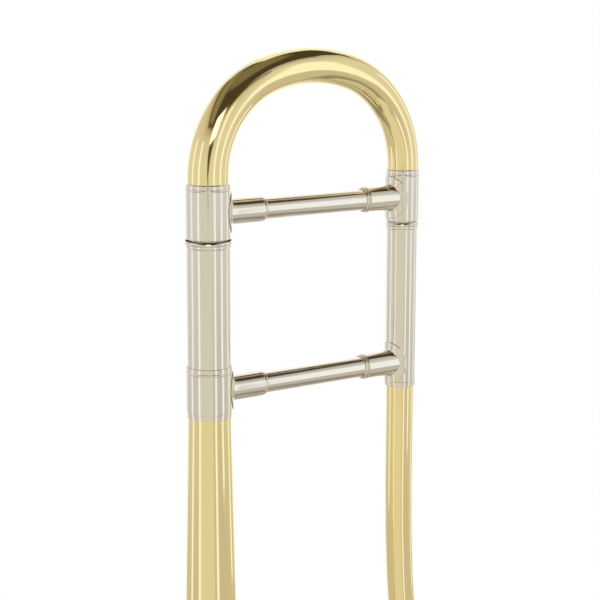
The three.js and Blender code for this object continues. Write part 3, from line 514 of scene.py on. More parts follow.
def softened(profile, edge, closed=True):
    """A profile with an arc at each sharp corner and a holding point on either side of it."""
    points = [Vector(point) for point in profile]
    count = len(points)
    soft = []
    for place, point in enumerate(points):
        if not closed and place in (0, count - 1):
            soft.append(point)
            continue
        before, after = points[place - 1], points[(place + 1) % count]
        come, leave = point - before, after - point
        if come.length < WELD or leave.length < WELD or come.angle(leave) < SOFT_TURN:
            soft.append(point)
            continue
        reach = min(edge, CORNER_REACH_SHARE * come.length, CORNER_REACH_SHARE * leave.length)
        come, leave = come.normalized(), leave.normalized()
        start, end = point - reach * come, point + reach * leave
        if (point - before).length > HOLDING_ROUNDS * reach:
            soft.append(start - reach * come)
        soft += [bend(start, point, end, step / CORNER_STEPS) for step in range(CORNER_STEPS + 1)]
        if (after - point).length > HOLDING_ROUNDS * reach:
            soft.append(end + reach * leave)
    return soft


def curve_through(points, steps):
    """A smooth curve through points, with the same number of steps between each two."""
    points = [Vector(point) for point in points]
    curve = []
    for place in range(len(points) - 1):
        a, b, c, d = (points[max(0, min(len(points) - 1, place + shift))] for shift in (-1, 0, 1, 2))
        for step in range(steps):
            t = step / steps
            curve.append(0.5 * (2 * b + (c - a) * t + (2 * a - 5 * b + 4 * c - d) * t ** 2
                                + (3 * b - a - 3 * c + d) * t ** 3))
    return [*curve, points[-1]]


def lathe(profile, axis=Z, foot=Vector(), sides=LEG_SIDES, edge=None, knurl=None):
    """Loops of a turned piece from its closed profile of (radius, distance along the axis).

    knurl gives the start, end and depth of a band whose alternate points are cut back.
    """
    profile = softened(profile, settings("tubes").edge if edge is None else edge)
    side = side_of(axis)
    other = axis.cross(side)
    loops = []
    for radius, along in profile:
        cut = knurl[2] if knurl and knurl[0] <= along <= knurl[1] else 0
        loop = []
        for k, (cosine, sine) in enumerate(turns(sides)):
            reach = radius - cut * (k % 2)
            loop.append(foot + axis * along + side * (reach * cosine) + other * (reach * sine))
        loops.append(loop)
    return loops, True


def solid(profile, axis, foot, sides, edge=None):
    """Loops of a turned piece that is full up to its axis."""
    loops, _ = lathe(profile, axis, foot, sides, edge)
    return loops, False


def tube(outer, inner, start, end, axis=Z, foot=Vector()):
    """Loops of a straight tube between two distances along its axis."""
    return lathe([(inner, start), (outer, start), (outer, end), (inner, end)], axis, foot)


def route(start, heading, normal, moves):
    """Stations (place, direction, distance) along straight runs (length, 0) and bends (radius, angle)."""
    place, heading, along = start.copy(), heading.copy(), 0.0
    stations = [(place.copy(), heading.copy(), along)]
    for length, angle in moves:
        steps = max(1, math.ceil(abs(angle) / BEND_STEP)) if angle else max(2, round(length / RUN_STEP))
        for _ in range(steps):
            turn = angle / steps
            half = Quaternion(normal, turn / 2)
            chord = 2 * length * math.sin(abs(turn) / 2) if angle else length / steps
            place += (half @ heading) * chord
            heading = Quaternion(normal, turn) @ heading
            along += length * abs(turn) if angle else chord
            stations.append((place.copy(), heading.copy(), along))
    return stations


def sweep(stations, normal, outer, inner, sides=LEG_SIDES, seat=None):
    """Loops of a bent tube. outer and inner give its radii at a distance along it of the whole.

    seat moves the points of the first station onto the surface that the tube stands on.
    """
    total = stations[-1][2]
    outside, inside = [], []
    for number, (place, heading, along) in enumerate(stations):
        side = normal.cross(heading).normalized()
        for loops, radius in ((outside, outer(along, total)), (inside, inner(along, total))):
            loop = [place + side * (radius * cosine) + normal * (radius * sine)
                    for cosine, sine in turns(sides)]
            loops.append([seat(point) for point in loop] if seat and number == 0 else loop)
    return [*outside, *reversed(inside)], True


def steady(radius):
    """A radius that stays the same along a tube."""
    return lambda along, total: radius


class Carrier:
    """A round surface that a flange, sleeve or knuckle stands on."""

    def __init__(self, radius, upright=True):
        self.radius = radius
        self.upright = upright

    def straight(self, ring, lift):
        """A ring of the sleeve, cut where it meets the carrier and lifted off it."""
        def point(cosine, sine):
            across = ring * (cosine if self.upright else sine)
            depth = math.sqrt(max(self.radius ** 2 - across ** 2, 0)) + lift
            return ring * cosine, ring * sine, depth
        return point

    def wrapped(self, ring, lift):
        """A ring of a flange that is bent round the carrier."""
        def point(cosine, sine):
            surface = self.radius + lift
            angle = ring * (cosine if self.upright else sine) / surface
            bent = surface * math.sin(angle)
            if self.upright:
                return bent, ring * sine, surface * math.cos(angle)
            return ring * cosine, bent, surface * math.cos(angle)
        return point


def level(ring, depth):
    """A plain ring square to the strut."""
    return lambda cosine, sine: (ring * cosine, ring * sine, depth)


def blended(first, corner, last, along):
    """A ring on the arc that runs from one ring to another past a corner."""
    def point(cosine, sine):
        return bend(*(Vector(row(cosine, sine)) for row in (first, corner, last)), along)
    return point


def turned_over(row, length):
    """The same ring at the far end of a strut."""
    def point(cosine, sine):
        across, up, depth = row(cosine, sine)
        return across, up, length - depth
    return point


def strut(start, heading, rows, wrap=False, sides=LEG_SIDES):
    """Loops of a straight piece between carriers, from rows that give each ring's points."""
    side = side_of(heading)
    other = heading.cross(side)
    loops = []
    for row in rows:
        loop = []
        for cosine, sine in turns(sides):
            across, up, depth = row(cosine, sine)
            loop.append(start + side * across + other * up + heading * depth)
        loops.append(loop)
    return loops, wrap


def flange_rows(carrier, radius, sleeve):
    """Rows from the middle of a flange's underside round its rim and up its fillet to the sleeve."""
    braces = settings("braces")
    gap, thick, fillet = braces.seat_gap, braces.flange_thickness, braces.fillet
    edge = settings("tubes").edge
    cut = CUT_SHARE * edge
    rows = [carrier.wrapped(ring, lift) for ring, lift in (
        *((radius * part / FLANGE_STEPS, gap) for part in range(FLANGE_STEPS)),
        (radius - edge / 2, gap), (radius, gap + edge / 2), (radius, thick - edge),
        (radius - cut, thick - cut), (radius - edge, thick), (radius - 2 * edge, thick),
        ((radius - 2 * edge + sleeve + fillet) / 2, thick),
    )]
    first = carrier.wrapped(sleeve + fillet, thick)
    corner = carrier.straight(sleeve, thick)
    last = carrier.straight(sleeve, thick + fillet)
    return rows + [blended(first, corner, last, step / FLANGE_STEPS) for step in range(FLANGE_STEPS + 1)]


def plate(outline, from_depth, to_depth, edge):
    """Loops of a flat plate with softened edges, from its outline in the XZ plane, extruded along Y."""
    def loop(inset, depth):
        points = []
        for place, point in enumerate(outline):
            before, after = Vector(outline[place - 1]), Vector(outline[(place + 1) % len(outline)])
            along = (after - before).normalized()
            inwards = Vector((-along.y, along.x))
            shifted = Vector(point) + inwards * inset
            points.append(Vector((shifted.x, depth, shifted.y)))
        return points
    cut = CUT_SHARE * edge
    return [loop(edge, from_depth), loop(cut, from_depth + cut), loop(0, from_depth + edge),
            loop(0, to_depth - edge), loop(cut, to_depth - cut), loop(edge, to_depth)], False


def moved(shell, matrix):
    """The loops of a shell set in another place."""
    loops, wrap = shell
    return [[matrix @ point for point in loop] for loop in loops], wrap


def add_piece(name, shells, finish, nodes=(), body=None):
    """Makes one piece from closed shells of loops, seats it on its body and stands it in for its nodes."""
    form = bmesh.new()
    for loops, wrap in shells:
        rows = [[form.verts.new(point) for point in loop] for loop in loops]
        count = len(rows[0])
        for here, there in zip(rows, rows[1:] + rows[:1] if wrap else rows[1:]):
            for k in range(count):
                form.faces.new((here[k], here[(k + 1) % count], there[(k + 1) % count], there[k]))
        if not wrap:
            for row in (rows[0], rows[-1]):
                if (row[0].co - row[count // 2].co).length > WELD:
                    form.faces.new(row)
    bmesh.ops.remove_doubles(form, verts=form.verts, dist=WELD)
    bmesh.ops.recalc_face_normals(form, faces=form.faces)
    mesh = bpy.data.meshes.new(name)
    form.to_mesh(mesh)
    form.free()
    mesh.shade_smooth()
    mesh.set_sharp_from_angle(angle=SHARP_EDGE)
    mesh.materials.append(FINISHES[finish])
    piece = bpy.data.objects.new(name, mesh)
    bpy.context.scene.collection.objects.link(piece)
    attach(piece, body or body_of(frame["nodes"][nodes[0]])[0])
    if nodes:
        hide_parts(*nodes)
    return piece


FINISHES = {}


def stand_in(node, shells, finish):
    """A finished piece that stands for one node."""
    return add_piece(f"{node}_finished", shells, finish, (node,))


def span(node):
    """The lowest and highest corner of a node and its middle."""
    low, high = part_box(node)
    return low, high, (low + high) / 2


def radius_of(node):
    """The radius of an upright node."""
    low, high, _ = span(node)
    return (high.x - low.x) / 2


def lying_radius_of(node):
    """The radius of a node that lies along X."""
    low, high, _ = span(node)
    return (high.z - low.z) / 2


def foot_of(node):
    """Where the axis of an upright node meets the level of the bell's rim."""
    middle = span(node)[2]
    return Vector((middle.x, middle.y, 0))


def keep_node(node, finish):
    """Gives a node that keeps its own shape a better material."""
    slots = frame["nodes"][node].material_slots
    slots[0].material = FINISHES[finish]


class TromboneStep(bpy.types.Operator):
    """One step of the build"""
    bl_options = {"REGISTER", "UNDO"}

    def execute(self, context):
        self.build()
        return {"FINISHED"}


class TROMBONE_OT_finishes(TromboneStep):
    """Makes the materials"""
    bl_idname = "trombone.finishes"
    bl_label = "Finishes"

    def build(self):
        FINISHES.update(make_finishes())


def bell_curves():
    """The bell's bore and outside as functions of the height above the rim."""
    bell = settings("bell")
    top = span("lower_ferrule_bell")[0].z
    amount = bell.rim_radius - bell.bore_base - bell.taper * top

    def bore(height):
        part = bell.flare_offset / (height + bell.flare_offset)
        return bell.bore_base + bell.taper * (top - height) + amount * part ** bell.flare_power

    def outside(height, lift=0.0):
        part = bell.flare_offset / (height + bell.flare_offset)
        slope = -bell.taper - bell.flare_power * amount / bell.flare_offset * part ** (bell.flare_power + 1)
        reach = (bell.wall + lift) / math.hypot(1, slope)
        return bore(height) + reach, height - slope * reach

    return bore, outside, top


class TROMBONE_OT_bell(TromboneStep):
    """Builds the flare with its rolled rim and the stem"""
    bl_idname = "trombone.bell"
    bl_label = "Bell"

    def build(self):
        bell = settings("bell")
        bore, outside, top = bell_curves()
        joint = span("bell_stem")[0].z
        lap_top = joint + bell.lap
        gap = radius_of("bell_stem") - bell.wall - outside(joint)[0]
        heights = [bell.flare_offset * ((1 + top / bell.flare_offset) ** (step / FLARE_STEPS) - 1)
                   for step in range(1, FLARE_STEPS + 1)]
        rim = [(bell.rim_radius + bell.rim_bead * math.cos(math.radians(angle)),
                bell.rim_bead * (1 + math.sin(math.radians(angle)))) for angle in range(-90, 181, 15)]
        low = [height for height in heights if height < lap_top] + [lap_top]
        flare = [(bell.rim_radius - bell.wall, 0), *rim, *(outside(height) for height in low),
                 *((bore(height), height) for height in reversed(low))]
        stand_in("bell_flare", [lathe(flare, sides=FLARE_SIDES, edge=bell.wall / 4)], "brass")

        slope_top = lap_top + bell.lap_slope
        high = [slope_top, *(height for height in heights if height > slope_top)]
        foot, flare_top, stem_top = outside(joint)[0], outside(lap_top)[0], outside(top)[0]
        stem = [
            (foot + gap, joint), (foot + gap + bell.wall, joint), (flare_top + gap + bell.wall, lap_top),
            *(outside(height) for height in high),
            (stem_top, top + bell.spigot), (stem_top - bell.wall, top + bell.spigot),
            *((bore(height), height) for height in reversed(high)),
            (bore(lap_top), lap_top + gap), (flare_top + gap, lap_top + gap),
        ]
        stand_in("bell_stem", [lathe(stem, sides=WIDE_SIDES, edge=bell.wall / 4)], "brass")


# A turned bead: distance from its middle as a share of half its width, and height as a share
BEAD_SHARES = ((-1, 0), (-0.6, 0.7), (0, 1), (0.6, 0.7), (1, 0))


def beaded(radius, start, end, beads):
    """The outside of a ferrule from its foot to its top, with beads at the heights given."""
    tubes = settings("tubes")
    half, proud = tubes.bead_width / 2, tubes.bead_proud
    profile = [(radius, start)]
    for height in beads:
        profile += [(radius + rise * proud, height + shift * half) for shift, rise in BEAD_SHARES]
    return [*profile, (radius, end)]


# The ring at a slide tube's mouth from its foot up: height over the tube as a share of the ring's,
# and distance from the mouth as a share of the ring's width
RING_OUTLINE_SHARES = (
    (0.0, 1.0), (0.45, 0.92), (0.45, 0.64), (0.35, 0.58), (0.80, 0.50), (1.0, 0.37), (0.80, 0.24),
    (0.45, 0.08), (0.1, 0.0),
)


class TROMBONE_OT_slide_tubes(TromboneStep):
    """Builds the tubes of the tuning slide with their rings and ferrules"""
    bl_idname = "trombone.slide_tubes"
    bl_label = "Slide tubes and ferrules"

    def build(self):
        tubes = settings("tubes")
        for side in ("bell", "neck"):
            inner_low, inner_high, inner_middle = span(f"inner_slide_tube_{side}")
            inner = radius_of(f"inner_slide_tube_{side}")
            foot = Vector((inner_middle.x, 0, 0))
            shell = tube(inner, inner - tubes.wall, inner_low.z, inner_high.z, foot=foot)
            stand_in(f"inner_slide_tube_{side}", [shell], "nickel")

            low, high, _ = span(f"outer_slide_tube_{side}")
            ring = radius_of(f"outer_slide_tube_{side}")
            outer = ring - tubes.ring_proud
            bore = outer - tubes.wall
            proud, width = tubes.ring_proud, tubes.ring_width
            band = [(outer, low.z)]
            if side == "neck":
                foot_radius, band_top = outer + tubes.foot_step, low.z + tubes.foot_band
                band = [(foot_radius, low.z), (foot_radius, band_top), (outer, band_top)]
            profile = [
                (bore, low.z), *band,
                *((outer + rise * proud, high.z - drop * width) for rise, drop in RING_OUTLINE_SHARES),
                (bore, high.z),
            ]
            stand_in(f"outer_slide_tube_{side}", [lathe(profile, foot=foot)], "nickel")
            # The near-black ring in the gap at the mouth is painted shade, where the ferrule's foot meets the
            # ring and the contact's shadow falls
            if side == "bell":
                seam, foot_of_seam = outer + tubes.seam_share * proud, high.z - tubes.seam_width
                profile = [(bore, foot_of_seam), (seam, foot_of_seam), (seam, high.z), (bore, high.z)]
                add_piece("slide_seam_bell", [lathe(profile, foot=foot)], "painted_shade", body="body_section")

            low, high, _ = span(f"upper_ferrule_{side}")
            radius = radius_of(f"upper_ferrule_{side}") - tubes.bead_proud
            bow_end, tube_end = radius_of_bow(side) + tubes.edge / 2, inner + tubes.edge / 2
            step = (low.z + high.z) / 2
            cut = tubes.ferrule_chamfer
            profile = [(radius - cut, low.z),
                       *beaded(radius, low.z + cut, high.z - cut, [high.z - tubes.bead_inset]),
                       (radius - cut, high.z), (bow_end, high.z), (bow_end, step), (tube_end, step),
                       (tube_end, low.z)]
            stand_in(f"upper_ferrule_{side}", [lathe(profile, foot=foot)], "nickel")

        low, high, _ = span("lower_ferrule_bell")
        radius = radius_of("lower_ferrule_bell") - tubes.bead_proud
        inner = radius_of("outer_slide_tube_bell") - tubes.ring_proud + tubes.edge / 2
        band = low.z + tubes.foot_band
        profile = [(inner, low.z), (radius - tubes.foot_step, low.z), (radius - tubes.foot_step, band),
                   *beaded(radius, band, high.z, [high.z - tubes.bead_inset]), (inner, high.z)]
        stand_in("lower_ferrule_bell", [lathe(profile)], "nickel")


def radius_of_bow(side):
    """The bow's radius where it enters the ferrule on one side."""
    low, high, _ = span("tuning_bow")
    if side == "bell":
        return -low.x
    return high.x - span("upper_ferrule_neck")[2].x


class TROMBONE_OT_tuning_bow(TromboneStep):
    """Builds the tapered tuning bow"""
    bl_idname = "trombone.tuning_bow"
    bl_label = "Tuning bow"

    def build(self):
        tubes = settings("tubes")
        start = span("tuning_bow")[0].z
        ferrule_top = span("upper_ferrule_bell")[1].z
        width = span("upper_ferrule_neck")[2].x
        socket = ferrule_top - start
        wide, narrow = radius_of_bow("bell"), radius_of_bow("neck")

        def outer(along, total):
            part = min(max((along - socket) / (total - 2 * socket), 0), 1)
            return narrow + (wide - narrow) * (1 - part) ** tubes.bow_taper

        turn = tubes.bow_shoulder_share * math.pi / 2
        shoulder = (tubes.bow_shoulder, turn)
        crown = (tubes.bow_shoulder + (width / 2 - tubes.bow_shoulder) / math.cos(turn), math.pi - 2 * turn)
        straight = (socket + tubes.bow_straight, 0)
        stations = route(Vector((0, 0, start)), Z, Y, [straight, shoulder, crown, shoulder, straight])
        shell = sweep(stations, Y, outer, lambda along, total: outer(along, total) - tubes.wall, WIDE_SIDES)
        stand_in("tuning_bow", [shell], "brass")


class TROMBONE_OT_braces(TromboneStep):
    """Builds the two braces between the legs, each a tube in two beaded sockets"""
    bl_idname = "trombone.braces"
    bl_label = "Braces"

    def build(self):
        braces, tubes = settings("braces"), settings("tubes")
        neck_tube = radius_of("outer_slide_tube_neck") - tubes.ring_proud
        carriers = {
            "lower_brace": (radius_of("lower_ferrule_bell") - tubes.bead_proud, neck_tube),
            "upper_brace": (radius_of("upper_ferrule_bell") - tubes.bead_proud,
                            radius_of("upper_ferrule_neck") - tubes.bead_proud),
        }
        for prefix, radii in carriers.items():
            low, high, middle = span(f"{prefix}_tube")
            bore = braces.tube_radius - tubes.wall
            shell = tube(braces.tube_radius, bore, low.x, high.x, X, Vector((0, 0, middle.z)))
            stand_in(f"{prefix}_tube", [shell], "nickel")
            for side, radius, heading in (("bell", radii[0], X), ("neck", radii[1], -X)):
                low, high, _ = span(f"{prefix}_socket_{side}")
                leg = span(f"outer_slide_tube_{side}")[2].x
                reach = high.x - leg if side == "bell" else leg - low.x
                rows = flange_rows(Carrier(radius), braces.flange_radius, braces.socket_radius)
                bore = braces.tube_radius + tubes.edge / 4
                floor = reach - braces.insert - braces.socket_round
                groove = braces.socket_radius - braces.socket_round
                bead, half = reach - braces.bead_width / 2, braces.bead_width / 2
                end = reach - braces.bead_width - tubes.edge
                bead_side = braces.bead_radius - 0.1 * half
                rows += [level(ring, depth) for ring, depth in softened([
                    (braces.socket_radius, radius + 3 * braces.fillet), (braces.socket_radius, end),
                    (groove, end),
                ], braces.socket_round, closed=False)]
                rows += [level(ring, depth) for ring, depth in softened([
                    (groove, bead - half), (bead_side, bead - 0.6 * half), (braces.bead_radius, bead),
                    (bead_side, bead + 0.6 * half), (groove - tubes.edge, reach), (bore, reach),
                    (bore, floor), (0, floor),
                ], tubes.edge, closed=False)]
                shell = strut(Vector((leg, 0, middle.z)), heading, rows)
                stand_in(f"{prefix}_socket_{side}", [shell], "nickel")


class TROMBONE_OT_pipes(TromboneStep):
    """Builds the neck pipe, the return pipe, the leadpipe and the front bow with its ferrules"""
    bl_idname = "trombone.pipes"
    bl_label = "Pipes and front bow"

    def build(self):
        tubes = settings("tubes")
        radius = radius_of("leadpipe")
        bore = radius - tubes.wall
        for node in ("return_pipe", "leadpipe"):
            low, high, _ = span(node)
            stand_in(node, [tube(radius, bore, low.z, high.z, foot=foot_of(node))], "brass")

        low, high, _ = span("neck_pipe")
        leg = span("outer_slide_tube_neck")[2].x
        offset = span("return_pipe")[2].x - leg
        upper, lower = tubes.neck_upper_bend, tubes.neck_lower_bend
        angle = math.acos(1 - offset / (upper + lower))
        spigot = high.z - span("outer_slide_tube_neck")[0].z
        straight = high.z - low.z - spigot - tubes.neck_straight - (upper + lower) * math.sin(angle)
        stations = route(Vector((leg, 0, high.z)), -Z, Y, [
            (spigot + tubes.neck_straight, 0), (upper, -angle), (lower, angle), (straight, 0),
        ])
        stand_in("neck_pipe", [sweep(stations, Y, steady(radius), steady(bore))], "brass")

        low, high, _ = span("front_bow")
        back, lead = span("return_pipe")[2], span("leadpipe")[2]
        across = Vector((lead.x - back.x, lead.y - back.y, 0))
        turn = across.length / 2
        leg = high.z - low.z - turn - radius
        normal = (-Z).cross(across.normalized())
        moves = [(leg, 0), (turn, math.pi), (leg, 0)]
        stations = route(Vector((back.x, back.y, high.z)), -Z, normal, moves)
        stand_in("front_bow", [sweep(stations, normal, steady(radius), steady(bore))], "brass")

        for node in ("front_ferrule_return", "front_ferrule_lead"):
            low, high, _ = span(node)
            outer, inner = radius_of(node) - tubes.bead_proud, radius + tubes.edge / 2
            beads = [low.z + tubes.bead_inset, high.z - tubes.bead_inset]
            profile = [(inner, low.z), *beaded(outer, low.z, high.z, beads), (inner, high.z)]
            stand_in(node, [lathe(profile, foot=foot_of(node))], "nickel")


# The bead turned on a stay: distance from its middle as a share of half its width, and height as a share
STAY_BEAD_SHARES = ((-1, 0), (-0.5, 0.7), (0, 1), (0.5, 0.7), (1, 0))


class TROMBONE_OT_stays(TromboneStep):
    """Builds the knuckles at the valves and the stays between the pipes"""
    bl_idname = "trombone.stays"
    bl_label = "Knuckles and stays"

    def build(self):
        tubes = settings("tubes")
        heights = [span(f"valve_casing_{number}")[2].z for number in (1, 2, 3)]
        casing = Carrier(lying_radius_of("valve_casing_1"), upright=False)
        pipe = radius_of("leadpipe")
        outer = radius_of("neck_knuckle")
        main = span("return_pipe")[2].x
        edge = tubes.edge
        between = (("knuckle_1_2", heights[1], heights[0]), ("knuckle_2_3", heights[2], heights[1]))
        for node, low, high in between:
            length = high - low
            near = [casing.straight(outer, edge), casing.straight(outer, 3 * edge)]
            inner = [casing.straight(pipe, edge), casing.straight(pipe, 3 * edge)]
            rows = [*near, *(turned_over(row, length) for row in reversed(near)),
                    *(turned_over(row, length) for row in inner), *reversed(inner)]
            stand_in(node, [strut(Vector((main, 0, low)), Z, rows, wrap=True)], "nickel")
        for node, valve, heading in (("neck_knuckle", heights[0], Z), ("return_knuckle", heights[2], -Z)):
            low, high, _ = span(node)
            end = high.z - valve if heading.z > 0 else valve - low.z
            bore = pipe + edge / 2
            outline = beaded(outer, casing.radius + 2 * tubes.bead_width, end, [end - tubes.bead_inset])
            turned = softened([(outer, casing.radius), *outline, (bore, end), (bore, casing.radius)], edge,
                              closed=False)
            rows = [casing.straight(outer, edge), *(level(ring, depth) for ring, depth in turned[1:-1]),
                    casing.straight(bore, edge)]
            stand_in(node, [strut(Vector((main, 0, valve)), heading, rows, wrap=True)], "nickel")
        self.build_stays(casing, pipe, main, heights)

    def build_stays(self, casing, pipe, main, heights):
        """The stays between the bell, the pipes and the valves, with a flange at either end."""
        braces = settings("braces")
        lead = span("leadpipe")[2]
        _, outside, _ = bell_curves()
        upright = Carrier(pipe)
        stays = []
        for node in ("bell_brace", "front_brace"):
            height = span(node)[2].z
            stays.append((node, Vector((0, 0, height)), Vector((main, 0, height)),
                          Carrier(outside(height)[0]), upright))
        for node, height in (("leadpipe_stay_upper", heights[0]), ("leadpipe_stay_lower", heights[2])):
            end = Vector((lead.x, lead.y, height))
            stays.append((node, Vector((lead.x, 0, height)), end, casing, upright))
        height = span("front_stay")[2].z
        end = Vector((lead.x, lead.y, height))
        stays.append(("front_stay", Vector((main, 0, height)), end, upright, upright))
        for node, start, end, near, far in stays:
            length = (end - start).length
            near_rows = flange_rows(near, braces.stay_flange_radius, braces.stay_radius)
            far_rows = flange_rows(far, braces.stay_flange_radius, braces.stay_radius)
            turned = []
            for reach in (near.radius, length - far.radius):
                towards = 1 if reach == near.radius else -1
                middle = reach + towards * 4 * braces.fillet
                for shift, rise in STAY_BEAD_SHARES:
                    turned.append((braces.stay_radius + rise * braces.stay_bead,
                                   middle + shift * 2 * braces.stay_bead))
            turned.insert(len(STAY_BEAD_SHARES), (braces.stay_radius, length / 2))
            rows = [*near_rows, *(level(ring, depth) for ring, depth in turned),
                    *(turned_over(row, length) for row in reversed(far_rows))]
            heading = (end - start).normalized()
            stand_in(node, [strut(start, heading, rows)], "nickel")


# The button's thickness and the radius and length of its stem's collar, as shares of the button's radius
BUTTON_THICKNESS_SHARE = 10 / 19
COLLAR_SHARE = 14 / 19
COLLAR_LENGTH_SHARE = 18 / 19


class TROMBONE_OT_valves(TromboneStep):
    """Builds the casings, caps, buttons and felts of the three valves"""
    bl_idname = "trombone.valves"
    bl_label = "Valves"

    def build(self):
        for number in (1, 2, 3):
            low, high, middle = span(f"valve_casing_{number}")
            foot = Vector((0, 0, middle.z))
            radius = lying_radius_of(f"valve_casing_{number}")
            self.build_casing(number, low.x, high.x, radius, foot)
            self.build_caps(number, radius, foot)
            self.build_button(number, foot)
            keep_node(f"piston_{number}", "piston")
            keep_node(f"piston_spring_{number}", "steel")

    def build_casing(self, number, start, end, radius, foot):
        """A casing with a turned band under each of its caps."""
        valves, tubes = settings("valves"), settings("tubes")
        bead, proud = tubes.bead_width, 2 * tubes.bead_proud
        cap_end = span(f"top_cap_{number}")[1].x
        bottom_start = span(f"bottom_cap_{number}")[0].x
        bands = []
        for height in (cap_end + 2 * bead, bottom_start - 2 * bead):
            bands += [(radius, height - bead), (radius + proud, height - 0.6 * bead),
                      (radius + proud, height + 0.6 * bead), (radius, height + bead)]
        profile = [(valves.casing_bore, start), (radius, start), *bands, (radius, end),
                   (valves.casing_bore, end)]
        stand_in(f"valve_casing_{number}", [lathe(profile, X, foot, WIDE_SIDES)], "brass")

    def build_caps(self, number, casing, foot):
        """The domed top cap and the flat bottom cap, both knurled."""
        valves, tubes = settings("valves"), settings("tubes")
        sides = 2 * valves.knurl_teeth
        skirt = casing + valves.slide_gap
        low, high, _ = span(f"top_cap_{number}")
        radius = lying_radius_of(f"top_cap_{number}")
        top, bottom = low.x, high.x
        hole = valves.stem_radius + valves.slide_gap
        dome = [(radius - valves.cap_shoulder * (1 - 0.9 * math.sin(turn)),
                 top + valves.cap_wall * (1 - math.cos(turn))) for turn in
                (math.radians(angle) for angle in range(0, 91, 10))]
        groove = tubes.bead_width / 2
        band_start, band_end = top + valves.cap_wall + 2 * groove, bottom - 4 * groove
        profile = [
            (hole, top), *dome,
            (radius - groove / 2, band_start - groove), (radius, band_start), (radius, band_end),
            (radius - groove / 2, band_end + groove), (radius, band_end + 2 * groove),
            (radius, bottom), (skirt, bottom), (skirt, top + valves.cap_wall), (hole, top + valves.cap_wall),
        ]
        knurl = (band_start, band_end, valves.knurl_depth)
        stand_in(f"top_cap_{number}", [lathe(profile, X, foot, sides, knurl=knurl)], "nickel")

        low, high, _ = span(f"bottom_cap_{number}")
        start, face = low.x, high.x
        inside = face - valves.cap_wall
        band_start, band_end = start + 4 * groove, face - 4 * groove
        rise = radius / 6
        profile = [
            (valves.vent_radius, face), (radius - 2 * rise, face), (radius - rise, face),
            (radius, face - groove), (radius, band_end + groove), (radius - groove / 2, band_end),
            (radius, band_end - groove / 2), (radius, band_start),
            (radius - groove / 2, band_start - groove), (radius, band_start - 2 * groove), (radius, start),
            (skirt, start), (skirt, inside), (valves.vent_radius, inside),
        ]
        knurl = (band_start, band_end - groove / 2, valves.knurl_depth)
        stand_in(f"bottom_cap_{number}", [lathe(profile, X, foot, sides, knurl=knurl)], "nickel")

    def build_button(self, number, foot):
        """The finger button on its stem, with its inlay and felts."""
        valves, tubes = settings("valves"), settings("tubes")
        low, high, _ = span(f"finger_button_{number}")
        radius = lying_radius_of(f"finger_button_{number}")
        cap_top = span(f"top_cap_{number}")[0].x
        face, end = low.x, high.x
        underside = face + radius * BUTTON_THICKNESS_SHARE
        collar, collar_start = radius * COLLAR_SHARE, end - radius * COLLAR_LENGTH_SHARE
        rounding = radius / 6
        profile = [
            (0, face + valves.button_dish), (valves.inlay_radius + tubes.edge, face + valves.button_dish),
            (valves.inlay_radius + 2 * tubes.edge, face), (radius - rounding, face + tubes.edge),
            (radius - 0.3 * rounding, face + 0.4 * rounding), (radius, face + rounding),
            (radius - 0.2 * rounding, underside - rounding), (radius - rounding, underside - 0.3 * rounding),
            (radius - 2 * rounding, underside), (valves.stem_radius + rounding, underside),
            (valves.stem_radius, underside + rounding), (valves.stem_radius, collar_start),
            (collar, collar_start), (collar, end), (0, end),
        ]
        stand_in(f"finger_button_{number}", [solid(profile, X, foot, VALVE_SIDES)], "silver")
        body = body_of(frame["nodes"][f"finger_button_{number}"])[0]

        seat = face + valves.button_dish - tubes.edge / 2
        rim, crown = seat - tubes.edge, valves.inlay_crown
        dome = [(valves.inlay_radius * math.sin(turn), rim - crown * math.cos(turn))
                for turn in (math.radians(angle) for angle in range(0, 91, 9))]
        profile = [*dome, (valves.inlay_radius, seat), (0, seat)]
        inlay = solid(profile, X, foot, VALVE_SIDES, tubes.edge / 3)
        add_piece(f"button_inlay_{number}", [inlay], "shell", body=body)

        stem, thickness = valves.stem_radius, valves.felt_thickness
        start = underside + tubes.edge / 2
        self.build_felt(f"button_felt_{number}", body, foot, start, thickness, stem + tubes.edge,
                        stem + rounding)
        start = cap_top - tubes.edge / 2 - thickness / 2
        hole = stem + 2 * tubes.edge
        self.build_felt(f"cap_felt_{number}", "body_section", foot, start, thickness / 2, hole, hole)

    def build_felt(self, name, body, foot, start, thickness, hole, far_hole):
        """A felt ring, from the radius of its hole at either face."""
        radius = settings("valves").felt_radius
        end = start + thickness
        profile = [(hole, start), (radius, start), (radius, end), (far_hole, end)]
        add_piece(name, [lathe(profile, X, foot, VALVE_SIDES, thickness / 3)], "felt", body=body)


# Each valve slide's name, its valve and the way that it points
VALVE_SLIDES = (("first", 1, Z), ("second", 2, -Y), ("third", 3, -Z))


